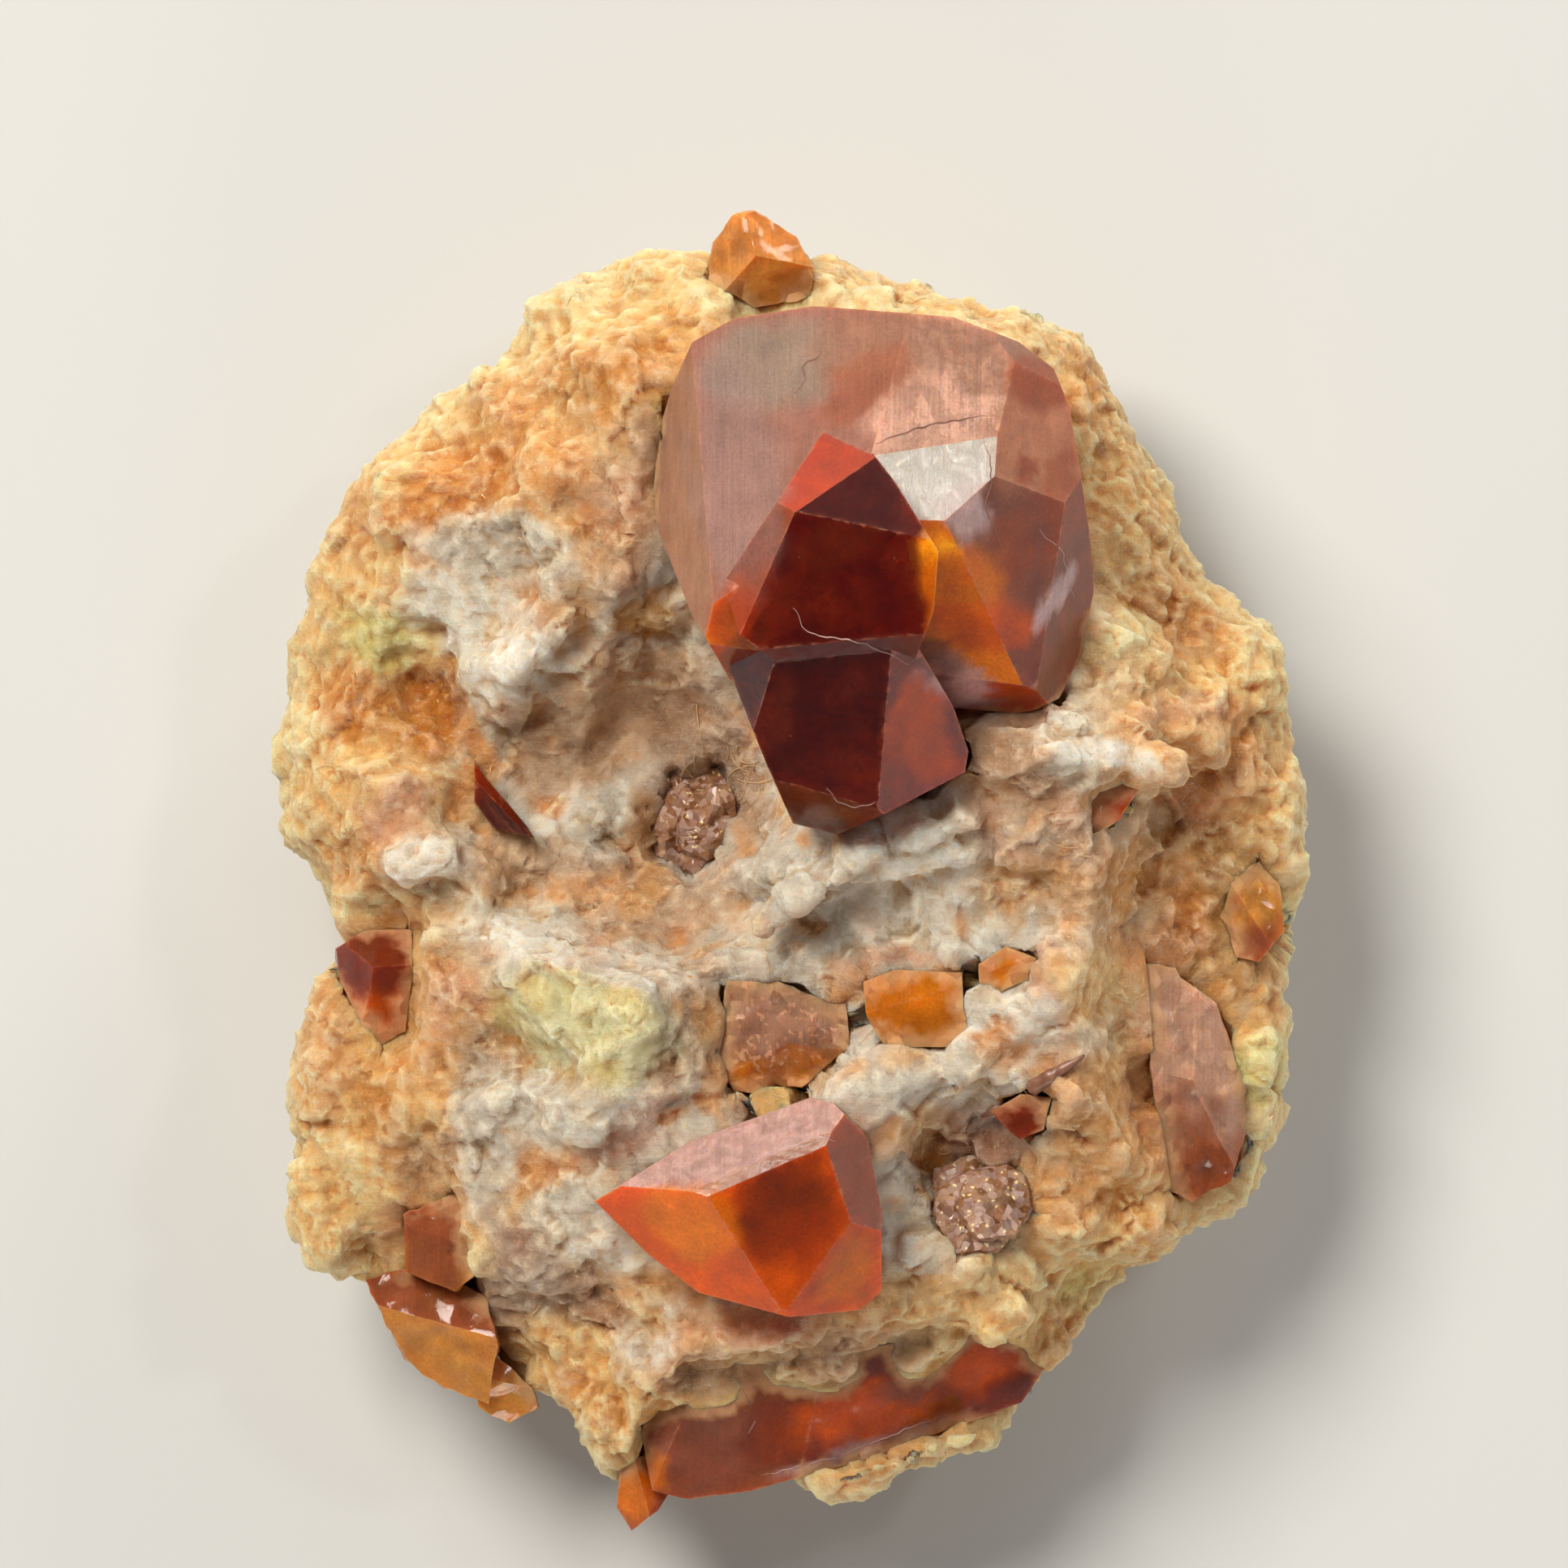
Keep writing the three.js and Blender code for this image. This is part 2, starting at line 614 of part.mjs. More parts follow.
function micaSocket(book) {
  return convexSolid([...micaPlanes(book), level(socketTop, true)], pocketGap);
}

// Distance from the origin to the outline along each of many bearings, found by ray.
function outlineReach(bearing) {
  const dx = Math.cos(bearing);
  const dy = Math.sin(bearing);
  let reach = 0;
  outline.forEach(([ax, ay], i) => {
    const [bx, by] = outline[(i + 1) % outline.length];
    const cross = dx * (by - ay) - dy * (bx - ax);
    if (Math.abs(cross) < 1e-9) return;
    const along = (ax * (by - ay) - ay * (bx - ax)) / cross;
    const share = (ax * dy - ay * dx) / cross;
    if (along > 0 && share >= 0 && share <= 1) reach = Math.max(reach, along);
  });
  return reach;
}

const surveyed = Object.values(frontHeights).flat();

function frontHeight(x, y) {
  let weights = 0;
  let sum = 0;
  for (const [sx, sy, height] of surveyed) {
    const weight = 1 / ((x - sx) ** 2 + (y - sy) ** 2 + 0.25) ** (heightSharpness / 2);
    weights += weight;
    sum += weight * height;
  }
  return reliefMiddle + (sum / weights - reliefMiddle) * reliefGain;
}

function backHeight(x, y) {
  const [mx, my, height] = backMiddle;
  return height + backRise * ((x - mx) ** 2 + (y - my) ** 2 * 0.7);
}

// Three independent values, one for each axis, that wander over one size of break.
function wander(point, size) {
  const [x, y, z] = point.map((value) => value / size);
  return [
    noise.noise(x, y, z),
    noise.noise(x + 31.7, y, z + 9.2),
    noise.noise(x, y + 17.3, z + 57.1),
  ];
}

// A point of the rock's surface for a direction on the unit sphere.
function rockPoint(direction) {
  const bearing = Math.atan2(direction.y, direction.x);
  const opened = 1 - Math.abs(direction.z);
  let across = Math.min(1, Math.sqrt(opened / (1 - wallShare)));
  let raised = Math.min(1, (1 - opened) / wallShare);
  const round = (across ** cornerPower + raised ** cornerPower) ** (1 / cornerPower);
  across /= round;
  raised /= round;
  const reach = outlineReach(bearing) * across;
  const x = Math.cos(bearing) * reach;
  const y = Math.sin(bearing) * reach;
  const face = direction.z > 0 ? frontHeight(x, y) : backHeight(x, y);
  const point = [x, y, rimHeight + raised * (face - rimHeight)];
  const lump = wander(point, lumps.size);
  const ridge = wander(point, ridges.size);
  return point.map(
    (value, axis) =>
      value + lump[axis] * lumps.depth + (0.22 - Math.abs(ridge[axis])) * ridges.depth,
  );
}

function rockSolid() {
  const ball = mergeVertices(
    new THREE.IcosahedronGeometry(1, rockDetail).deleteAttribute("normal").deleteAttribute("uv"),
    rockPrecision,
  );
  const positions = ball.attributes.position;
  const direction = new THREE.Vector3();
  for (let i = 0; i < positions.count; i++) {
    direction.fromBufferAttribute(positions, i).normalize();
    positions.setXYZ(i, ...rockPoint(direction));
  }
  const below = new THREE.BoxGeometry(80, 80, flatFloor).translate(0, 0, -flatFloor / 2);
  return solidOf(ball).subtract(solidOf(below));
}

// Everything in front of a break's face, inside its outline.
function brokenAway({ outline: points, face }) {
  const flared = sidePlanes(points, face.through[2], breakFlare).filter((_, i) => i % 2 === 0);
  return convexSolid([...flared, planeOf(face).negate(), level(socketTop, true)]);
}

function rockWithSockets() {
  let rock = rockSolid();
  for (const flat of Object.values(breaks)) rock = rock.subtract(brokenAway(flat));
  for (const crystal of Object.values(crystals)) rock = rock.subtract(crystalSocket(crystal));
  for (const book of Object.values(micaBooks)) rock = rock.subtract(micaSocket(book));
  const pieces = rock.decompose().sort((a, b) => b.volume() - a.volume());
  return pieces[0];
}

function named(name, solid, colour, look) {
  const material = new THREE.MeshStandardMaterial({ color: colour, ...look });
  const mesh = new THREE.Mesh(geometryOf(solid), material);
  mesh.name = name;
  return mesh;
}

const specimen = new THREE.Group();
specimen.add(named("matrix", rockWithSockets(), colours.rock, { roughness: 0.75, metalness: 0 }));
for (const [name, crystal] of Object.entries(crystals)) {
  specimen.add(named(name, crystalSolid(crystal), crystal.colour, { roughness: 0.15, metalness: 0 }));
}
for (const [name, book] of Object.entries(micaBooks)) {
  specimen.add(named(name, micaSolid(book), colours.mica, { roughness: 0.35, metalness: 0 }));
}

export default specimen;
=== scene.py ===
import math
import random

import bmesh
import bpy
import numpy as np
from mathutils import Matrix, Vector, noise
from mathutils.bvhtree import BVHTree


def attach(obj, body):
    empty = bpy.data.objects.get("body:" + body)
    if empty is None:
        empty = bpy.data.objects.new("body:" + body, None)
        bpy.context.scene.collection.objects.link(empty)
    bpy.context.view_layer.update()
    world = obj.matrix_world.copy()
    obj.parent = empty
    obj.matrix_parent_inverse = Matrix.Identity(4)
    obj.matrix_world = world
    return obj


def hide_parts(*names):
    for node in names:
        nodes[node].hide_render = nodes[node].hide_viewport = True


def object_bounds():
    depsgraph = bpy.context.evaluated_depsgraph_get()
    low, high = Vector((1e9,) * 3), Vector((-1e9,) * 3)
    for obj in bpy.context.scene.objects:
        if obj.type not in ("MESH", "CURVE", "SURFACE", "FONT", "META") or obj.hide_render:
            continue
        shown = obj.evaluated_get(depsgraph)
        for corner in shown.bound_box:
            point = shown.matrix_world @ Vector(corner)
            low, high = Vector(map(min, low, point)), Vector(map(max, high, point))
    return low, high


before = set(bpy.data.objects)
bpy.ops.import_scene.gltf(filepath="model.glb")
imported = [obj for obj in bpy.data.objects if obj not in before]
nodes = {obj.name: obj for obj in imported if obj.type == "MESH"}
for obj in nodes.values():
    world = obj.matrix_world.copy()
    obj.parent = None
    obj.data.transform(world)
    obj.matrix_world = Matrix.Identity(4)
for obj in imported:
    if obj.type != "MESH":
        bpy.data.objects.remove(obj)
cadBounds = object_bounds()
mm = 0.001

# Without a seed, noise_vector points other ways at each run.
noise.seed_set(5)

# The specimen lies face up, so the photograph's view looks straight down on it.
view = {
    "aim": (-0.2, 3.0),
    "width": 53.3,
    "distance": 700,
    "sensor": 36,
}

# Colours, in sRGB from 0 to 255.
palette = {
    "cream": (232, 188, 122),
    "paleCream": (238, 214, 156),
    "tan": (218, 160, 98),
    "sand": (210, 158, 92),
    "ochre": (198, 134, 54),
    "orange": (214, 144, 66),
    "white": (232, 224, 208),
    "milk": (204, 194, 178),
    "lime": (216, 210, 136),
    "blush": (204, 150, 116),
    "beige": (190, 150, 112),
    "taupe": (176, 138, 106),
    # A brown stone colour raised to sand: painted light for the bowl wall, which lies in shade
    "paintedLitSand": (224, 186, 148),
    "umber": (146, 90, 48),
    "rust": (182, 104, 46),
    "greyMauve": (154, 124, 116),
    "amberGlass": (196, 122, 26),
}

rock = {
    "voxel": 0.22,
    "backShare": 0.14,
    "smoothRounds": 4,
    "lump": (3.0, 0.3),
    "crag": (1.5, 0.15),
    "block": (1.7, 0.26),
    "chip": (0.7, 0.1),
    "grit": (0.45, 0.09),
    "lipReach": 0.85,
    "nestReach": 1.7,
    "lipOver": 0.22,
    "warp": (2.2, 0.8),
    "hollow": 0.2,
    "ridge": 0.14,
    "grain": 0.36,
    "speckle": 0.1,
}

# Cleavage blocks and lumps that stand out of the display face: where, length, width and
# thickness, the turn of the long side, how far it leans, and how far it stands out.
outcrops = {
    "whiteRidge": (-7.2, 10.7, 4.4, 1.3, 1.6, -34, 12, 0.5),
    "shoulder": (-11.2, 12.6, 6.0, 2.6, 1.6, 8, -6, 0.35),
    "rimLumpLeft": (-8.0, 19.0, 2.0, 1.5, 1.6, 20, 0, 0.5),
    "rimLumpRight": (-4.4, 20.0, 2.6, 1.6, 1.6, -15, 0, 0.45),
    "tanBlock": (-5.0, 8.9, 2.8, 1.2, 1.4, 0, 8, 0.5),
    "facetBlock": (-8.6, 7.6, 3.6, 1.0, 1.6, 40, -8, 0.35),
    "smoothGrain": (-14.5, 6.6, 1.1, 1.0, 1.0, 0, 0, 0.4),
    "leftFacet": (-12.4, 0.4, 2.6, 1.5, 1.4, 8, -14, 0.5),
    "whiteBlock": (-11.4, -3.0, 2.4, 3.2, 1.6, 6, 8, 0.55),
    "bladeOne": (-0.2, -1.3, 4.6, 0.6, 1.6, 34, 30, 0.8),
    "bladeTwo": (0.6, -0.6, 4.4, 0.6, 1.6, 33, 30, 1.05),
    "bladeThree": (1.4, 0.1, 4.0, 0.6, 1.6, 32, 30, 1.2),
    "stepOne": (4.6, 0.5, 3.4, 0.8, 1.4, 18, 22, 0.6),
    "stepTwo": (5.0, 1.6, 3.0, 0.8, 1.4, 16, 22, 0.9),
    "palePatch": (11.4, 4.0, 4.2, 1.2, 1.4, -18, 12, 0.35),
    "translucentLump": (8.6, 1.6, 3.0, 2.6, 2.0, 10, 10, 0.4),
    "whiteLedge": (7.6, -5.4, 4.0, 0.9, 1.2, 22, 16, 0.5),
    "greyBlock": (4.6, -7.0, 4.6, 0.9, 1.2, 12, 16, 0.45),
    "cliffTop": (11.2, -4.6, 1.6, 3.4, 1.6, 12, 0, 0.4),
    "taupeLobe": (-3.4, -17.3, 3.2, 2.0, 2.4, 12, 0, 0.5),
    "lobeMiddle": (0.8, -16.7, 3.0, 1.5, 2.0, 4, 0, 0.5),
    "lobeRight": (4.6, -16.1, 2.6, 1.5, 2.0, 26, 0, 0.5),
    "lobeEnd": (7.2, -15.2, 2.2, 1.3, 2.0, 34, 0, 0.5),
    "waxyLobe": (-16.0, -11.6, 1.8, 3.8, 2.0, 12, 0, 0.4),
    "waxyKnob": (-15.9, -7.2, 1.7, 2.6, 1.8, -8, 0, 0.4),
    "greenBlock": (-5.4, -16.4, 1.7, 2.4, 2.0, 20, 0, 0.3),
    "cementRib": (-10.6, -11.0, 1.2, 5.6, 1.6, 8, 0, 0.4),
    "rightKnob": (15.4, 3.4, 1.8, 2.2, 1.8, 10, 0, 0.4),
    "rightGrain": (15.9, -6.4, 1.2, 2.0, 1.6, 10, 0, 0.4),
}

# Patches of colour on the display face: colour, place, radii, turn in degrees and strength.
rockPatches = [
    ("cream", -4.3, 20.5, 2.5, 0.8, 0, 0.8),
    ("paleCream", -7.4, 19.5, 1.4, 0.8, 20, 0.9),
    ("orange", -6.3, 16.9, 1.9, 0.9, -10, 0.8),
    ("tan", -9.2, 16.4, 2.2, 1.1, 30, 0.8),
    ("orange", -7.8, 14.7, 1.4, 0.8, 0, 0.5),
    ("orange", -11.4, 13.1, 3.3, 1.7, 10, 0.75),
    ("cream", -14.0, 14.2, 1.7, 1.4, 45, 0.8),
    ("tan", -15.2, 11.8, 1.4, 1.4, 0, 0.7),
    ("cream", -15.8, 9.3, 1.1, 1.7, 0, 0.7),
    ("beige", -5.1, 14.2, 0.8, 2.5, 0, 0.8),
    ("blush", -6.3, 12.9, 1.1, 1.4, 0, 0.6),
    ("milk", -10.0, 10.9, 3.3, 1.2, -12, 0.9),
    ("white", -11.4, 9.0, 2.8, 1.4, -8, 0.9),
    ("cream", -14.3, 9.5, 1.7, 1.1, 0, 0.8),
    ("white", -8.9, 7.1, 2.2, 1.4, 25, 1),
    ("lime", -14.0, 7.9, 1.7, 1.1, 0, 0.7),
    ("ochre", -12.9, 5.3, 1.7, 1.5, 0, 0.85),
    ("orange", -15.2, 5.8, 1.4, 1.4, 0, 0.7),
    ("umber", -11.8, 6.0, 0.8, 1.2, 0, 0.7),
    ("paleCream", -16.7, 4.7, 0.7, 1.4, 0, 0.9),
    ("cream", -16.0, 2.1, 1.2, 1.7, 0, 0.8),
    ("blush", -13.4, 2.1, 1.5, 1.4, 0, 0.8),
    ("white", -12.3, 0.3, 1.4, 0.9, 10, 0.9),
    ("paleCream", -14.7, -0.9, 1.7, 0.7, 0, 0.8),
    ("sand", -5.1, 8.6, 1.4, 0.7, 0, 1),
    # The bowl wall: painted light, a stone colour lightened where the wall lies in shade
    ("paintedLitSand", -5.9, 5.7, 3.6, 2.1, 15, 0.95),
    ("beige", -7.6, 3.5, 2.5, 1.2, 10, 0.8),
    ("taupe", -3.4, 4.9, 1.4, 1.9, 0, 0.8),
    ("orange", -10.9, 3.8, 0.6, 2.1, 0, 0.8),
    ("umber", -3.4, 2.1, 1.9, 1.7, 0, 0.4),
    ("beige", -9.2, 0.3, 2.5, 1.0, 0, 0.8),
    ("tan", -6.5, -0.8, 2.2, 0.8, 0, 0.7),
    ("paintedLitSand", -2.3, -1.5, 1.9, 0.7, 0, 0.6),
    ("taupe", -1.6, 3.1, 0.9, 2.2, 15, 0.7),
    ("milk", 0.7, -0.5, 3.0, 1.1, 5, 1),
    ("white", 4.9, 0.4, 2.3, 1.4, 0, 0.9),
    ("milk", 5.7, 2.4, 1.7, 0.8, -10, 0.8),
    ("sand", 8.0, -0.4, 1.9, 1.1, 0, 0.7),
    ("ochre", 11.8, -0.2, 1.9, 1.2, 15, 0.75),
    ("beige", 7.6, 3.3, 1.9, 1.7, 0, 0.8),
    ("white", 11.2, 4.0, 2.1, 0.7, -18, 1),
    ("beige", 11.8, 1.8, 1.7, 1.0, 0, 0.7),
    ("tan", 13.1, 3.5, 1.0, 1.3, 0, 0.7),
    ("lime", -7.0, -5.1, 3.6, 2.2, -15, 0.6),
    ("white", -9.2, -2.2, 2.2, 0.8, -10, 0.9),
    ("white", -5.1, -3.1, 2.2, 0.8, -8, 0.7),
    ("beige", -10.0, -5.8, 1.7, 1.1, 0, 0.7),
    ("milk", -7.8, -8.0, 2.5, 1.4, 0, 0.95),
    ("blush", -11.4, -4.4, 1.4, 1.1, 0, 0.6),
    ("sand", -11.0, -4.8, 0.7, 0.6, 0, 0.7),
    ("blush", 2.9, -3.1, 2.5, 0.4, 5, 0.8),
    ("white", 7.3, -5.2, 1.9, 1.0, 0, 0.9),
    ("cream", 10.1, -3.8, 1.7, 1.4, 0, 0.8),
    ("milk", 4.9, -7.1, 3.0, 0.9, 5, 0.95),
    ("white", 0.4, -8.1, 1.7, 0.8, 0, 0.7),
    ("tan", -15.8, -6.2, 1.2, 3.0, 0, 0.8),
    ("cream", -16.3, -11.4, 1.2, 2.2, 0, 0.9),
    ("orange", -13.9, -7.0, 1.1, 1.7, 0, 0.5),
    ("beige", -12.3, -9.8, 1.7, 1.4, 0, 0.7),
    ("rust", -13.4, -12.0, 1.4, 1.1, 30, 0.6),
    ("milk", -10.3, -9.2, 1.0, 3.3, 8, 0.9),
    ("greyMauve", -9.2, -13.6, 1.9, 2.2, 0, 0.7),
    ("milk", -7.1, -11.4, 1.7, 1.1, 0, 0.9),
    ("white", -6.2, -12.9, 1.4, 0.7, -10, 0.8),
    ("umber", -6.6, -14.6, 1.5, 1.1, 0, 0.8),
    ("white", -4.8, -15.8, 1.3, 1.1, 0, 0.9),
    ("taupe", -3.0, -17.1, 1.9, 0.8, 0, 0.8),
    ("blush", -1.2, -15.6, 2.8, 0.8, 0, 0.8),
    ("beige", 2.1, -16.3, 3.3, 1.1, 8, 0.8),
    ("cream", 6.0, -14.5, 2.5, 1.4, 15, 0.7),
    ("white", 4.0, -12.8, 1.7, 1.1, 0, 0.7),
    ("sand", 4.3, -8.9, 1.7, 0.9, 0, 0.7),
    ("greyMauve", 6.5, -8.9, 1.7, 1.0, 0, 0.6),
    ("cream", 8.2, -13.6, 1.7, 1.1, 0, 0.7),
    ("ochre", 9.8, -7.6, 1.9, 1.9, 0, 0.75),
    ("tan", 11.6, -9.2, 1.4, 1.9, 0, 0.7),
    ("tan", 9.3, -11.2, 1.7, 1.2, 0, 0.7),
    ("lime", 10.1, -14.2, 1.7, 1.1, 30, 0.5),
    ("rust", 14.0, 2.5, 1.4, 1.5, 0, 0.6),
    ("tan", 15.9, 3.8, 1.4, 1.7, 0, 0.7),
    ("cream", 15.6, 6.2, 1.7, 1.4, 0, 0.6),
    ("tan", 12.9, 8.4, 1.9, 1.1, -30, 0.7),
    ("paleCream", 11.3, 7.9, 1.4, 0.9, 0, 0.8),
    ("cream", 11.8, 12.0, 1.1, 2.2, 15, 0.8),
    ("orange", 10.4, 16.4, 1.7, 1.1, 0, 0.5),
    ("blush", 13.6, 5.4, 1.7, 0.7, 0, 0.6),
    ("ochre", 14.5, -0.9, 1.7, 1.7, 0, 0.8),
    ("rust", 12.9, -2.6, 1.1, 1.4, 0, 0.6),
    ("sand", 14.5, -3.1, 1.4, 0.8, 0, 0.8),
    ("orange", 16.4, -3.4, 0.8, 1.7, 0, 0.6),
    ("lime", 15.9, -6.7, 1.1, 1.4, 0, 0.7),
    ("paleCream", 15.8, -10.0, 1.0, 1.4, 0, 0.8),
    ("blush", 12.6, -4.5, 0.8, 1.4, 0, 0.7),
    ("rust", 12.3, -7.6, 0.6, 2.5, 0, 0.6),
    ("amberGlass", 7.2, -5.6, 0.7, 0.6, 0, 0.8),
    ("amberGlass", 4.7, -9.9, 0.9, 0.8, 20, 0.9),
    ("amberGlass", 1.9, -3.9, 1.1, 0.5, 0, 0.7),
    ("amberGlass", -12.3, 5.2, 0.8, 1.2, 0, 0.7),
    ("amberGlass", -15.0, 5.4, 0.8, 1.0, 0, 0.6),
    ("amberGlass", -5.1, 17.8, 1.1, 0.8, 10, 0.6),
    ("amberGlass", -7.0, 15.7, 0.8, 0.7, 0, 0.6),
    ("amberGlass", 9.9, 17.3, 1.0, 0.8, -30, 0.5),
    ("amberGlass", 15.0, 4.4, 1.0, 1.4, 10, 0.6),
    ("amberGlass", 13.6, -1.2, 0.9, 1.4, 10, 0.7),
    ("amberGlass", 12.9, -7.6, 0.5, 2.4, 4, 0.6),
    ("amberGlass", -13.9, -9.0, 1.0, 1.4, 0, 0.5),
    ("umber", 6.4, -9.2, 1.4, 0.7, 20, 0.6),
]


def linear(colour):
    # A palette name or an sRGB triple, as the linear colour that shaders use
    triple = palette[colour] if isinstance(colour, str) else colour
    shares = [value / 255 for value in triple]
    return [share / 12.92 if share < 0.04 else ((share + 0.055) / 1.055) ** 2.4 for share in shares]


def smooth(low, high, values):
    share = np.clip((values - low) / (high - low), 0, 1)
    return share * share * (3 - 2 * share)


def wander(points, size, seed=0):
    # Smooth noise from -1 to 1 at each point, with lumps about this size in millimetres
    shift = Vector((seed * 17.3, seed * 5.1, -seed * 9.7))
    return np.array([noise.noise(Vector(point) / size + shift) for point in points])


def broken(points, size, seed):
    # Flat chips of this size, each with its own height and lean, from about -1 to 1
    shift = Vector((seed * 11.3, -seed * 7.9, seed * 3.7))
    heights = np.empty(len(points))
    for i, point in enumerate(points):
        here = Vector(point) / size + shift
        centre = noise.voronoi(here)[1][0]
        way = noise.noise_vector(centre * 5.3)
        heights[i] = way.x + 1.6 * (here - centre).dot(way)
    return np.clip(heights, -1, 1)


class Wire:
    # An output socket, so that a sum of nodes can be written as a sum

    def __init__(self, graph, socket):
        self.graph = graph
        self.socket = socket

    def combined(self, operation, first, second):
        return self.graph.node("ShaderNodeMath", {0: first, 1: second}, operation=operation)

    def __add__(self, other):
        return self.combined("ADD", self, other)

    def __sub__(self, other):
        return self.combined("SUBTRACT", self, other)

    def __rsub__(self, other):
        return self.combined("SUBTRACT", other, self)

    def __mul__(self, other):
        return self.combined("MULTIPLY", self, other)

    def __truediv__(self, other):
        return self.combined("DIVIDE", self, other)

    def __pow__(self, other):
        return self.combined("POWER", self, other)

    def above(self, other):
        return self.combined("GREATER_THAN", self, other)

    def clipped(self):
        return self.graph.node("ShaderNodeClamp", {"Value": self})

    __radd__ = __add__
    __rmul__ = __mul__


class Graph:
    # A node tree, emptied and ready to fill

    def __init__(self, tree):
        self.tree = tree
        tree.nodes.clear()

    def node(self, kind, inputs=None, output=0, **settings):
        made = self.tree.nodes.new(kind)
        for name, value in settings.items():
            setattr(made, name, value)
        for name, value in (inputs or {}).items():
            if isinstance(value, Wire):
                self.tree.links.new(value.socket, made.inputs[name])
            else:
                made.inputs[name].default_value = value
        return Wire(self, made.outputs[output]) if made.outputs else made

    def tint(self, factor, first, second, blend="MIX"):
        colours = {0: factor, 6: first, 7: second}
        settings = {"data_type": "RGBA", "blend_type": blend}
        return self.node("ShaderNodeMix", colours, 2, **settings)

    def painted(self, name, output="Fac"):
        return self.node("ShaderNodeAttribute", output=output, attribute_name=name)

    def place(self):
        return self.node("ShaderNodeTexCoord", output="Object")

    def cloud(self, size, detail=3.0, rough=0.55, stretch=(1, 1, 1), output=0):
        spread = {"Vector": self.place(), "Scale": [part / mm / size for part in stretch]}
        where = self.node("ShaderNodeMapping", spread)
        shape = {"Vector": where, "Scale": 1.0, "Detail": detail, "Roughness": rough}
        return self.node("ShaderNodeTexNoise", shape, output)

    def cells(self, size, output="Distance", **settings):
        spread = {"Vector": self.place(), "Scale": [1 / mm / size] * 3}
        where = self.node("ShaderNodeMapping", spread)
        return self.node("ShaderNodeTexVoronoi", {"Vector": where, "Scale": 1.0}, output, **settings)

    def facets(self, size):
        # A height that tilts every small grain its own way
        spread = {"Vector": self.place(), "Scale": [1 / mm / size] * 3}
        where = self.node("ShaderNodeMapping", spread)
        middle = self.cells(size, "Position")
        way = self.cells(size, "Color")
        inside = self.node("ShaderNodeVectorMath", {0: where, 1: middle}, operation="SUBTRACT")
        lean = self.node("ShaderNodeVectorMath", {0: way, 1: (0.5, 0.5, 0.5)}, operation="SUBTRACT")
        product = {0: inside, 1: lean}
        return self.node("ShaderNodeVectorMath", product, "Value", operation="DOT_PRODUCT")


def newMaterial(name):
    made = bpy.data.materials.new(name)
    made.use_nodes = True
    return made, Graph(made.node_tree)


def linked(name, mesh):
    piece = bpy.data.objects.new(name, mesh)
    bpy.context.scene.collection.objects.link(piece)
    return piece


def belongs(piece, slotName, *replaced):
    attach(piece, "root")
    if replaced:
        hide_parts(*replaced)


def mergedCopy(nodeName):
    # A welded copy of a CAD node's mesh, in a bmesh
    work = bmesh.new()
    work.from_mesh(nodes[nodeName].data)
    bmesh.ops.remove_doubles(work, verts=work.verts, dist=1e-3 * mm)
    return work


def meshFrom(work, name):
    made = bpy.data.meshes.new(name)
    work.to_mesh(made)
    work.free()
    return made


def positions(mesh):
    flat = np.empty(len(mesh.vertices) * 3, np.float32)
    mesh.vertices.foreach_get("co", flat)
    return flat.reshape(-1, 3) / mm


def normals(mesh):
    flat = np.empty(len(mesh.vertices) * 3, np.float32)
    mesh.vertices.foreach_get("normal", flat)
    return flat.reshape(-1, 3)


def move(mesh, points):
    mesh.vertices.foreach_set("co", (points * mm).astype(np.float32).ravel())
    mesh.update()


def paint(mesh, name, values):
    kind = "FLOAT_COLOR" if values.ndim == 2 else "FLOAT"
    attribute = mesh.attributes.new(name, kind, "POINT")
    if values.ndim == 2:
        full = np.ones((len(values), 4), np.float32)
        full[:, :3] = values
        attribute.data.foreach_set("color", full.ravel())
    else:
        attribute.data.foreach_set("value", values.astype(np.float32))


def addOutcrops(work):
    # Sets each outcrop half into the display face below it
    surface = surfaceTree(["matrix", "garnet_base_plate"])
    for x, y, long, wide, thick, turn, lean, proud in outcrops.values():
        found = surface.ray_cast(Vector((x, y, 40)), Vector((0, 0, -1)))[0]
        height = found.z + proud - thick / 2
        rolled = Matrix.Rotation(math.radians(turn), 4, "Z") @ Matrix.Rotation(math.radians(lean), 4, "X")
        sized = Matrix.Diagonal((long * mm, wide * mm, thick * mm, 1))
        place = Matrix.Translation(Vector((x, y, height)) * mm) @ rolled @ sized
        made = bmesh.ops.create_cube(work, size=1, matrix=place)
        edges = {edge for vertex in made["verts"] for edge in vertex.link_edges}
        bmesh.ops.bevel(
            work, geom=list(edges), offset=0.22 * min(wide, thick) * mm, segments=1, affect="EDGES"
        )


def remeshed(nodeName, voxel):
    # The node as an even fine mesh, coarser below, with its outcrops grown on
    work = mergedCopy(nodeName)
    addOutcrops(work)
    rough = linked("rough", meshFrom(work, "rough"))
    grid = rough.modifiers.new("grid", "REMESH")
    grid.mode = "VOXEL"
    grid.voxel_size = voxel * mm
    made = baked(rough)
    coarse = linked("coarse", made)
    under = np.flatnonzero((normals(made)[:, 2] < -0.2) | (positions(made)[:, 2] < 0.8))
    coarse.vertex_groups.new(name="under").add(under.tolist(), 1.0, "REPLACE")
    total = len(made.vertices)
    thinned = coarse.modifiers.new("thinned", "DECIMATE")
    thinned.vertex_group = "under"
    thinned.ratio = (total - len(under) * (1 - rock["backShare"])) / total
    return baked(coarse)


def baked(thing):
    # The mesh that its modifiers make; the object itself is dropped
    seen = thing.evaluated_get(bpy.context.evaluated_depsgraph_get())
    made = bpy.data.meshes.new_from_object(seen)
    bpy.data.objects.remove(thing)
    return made


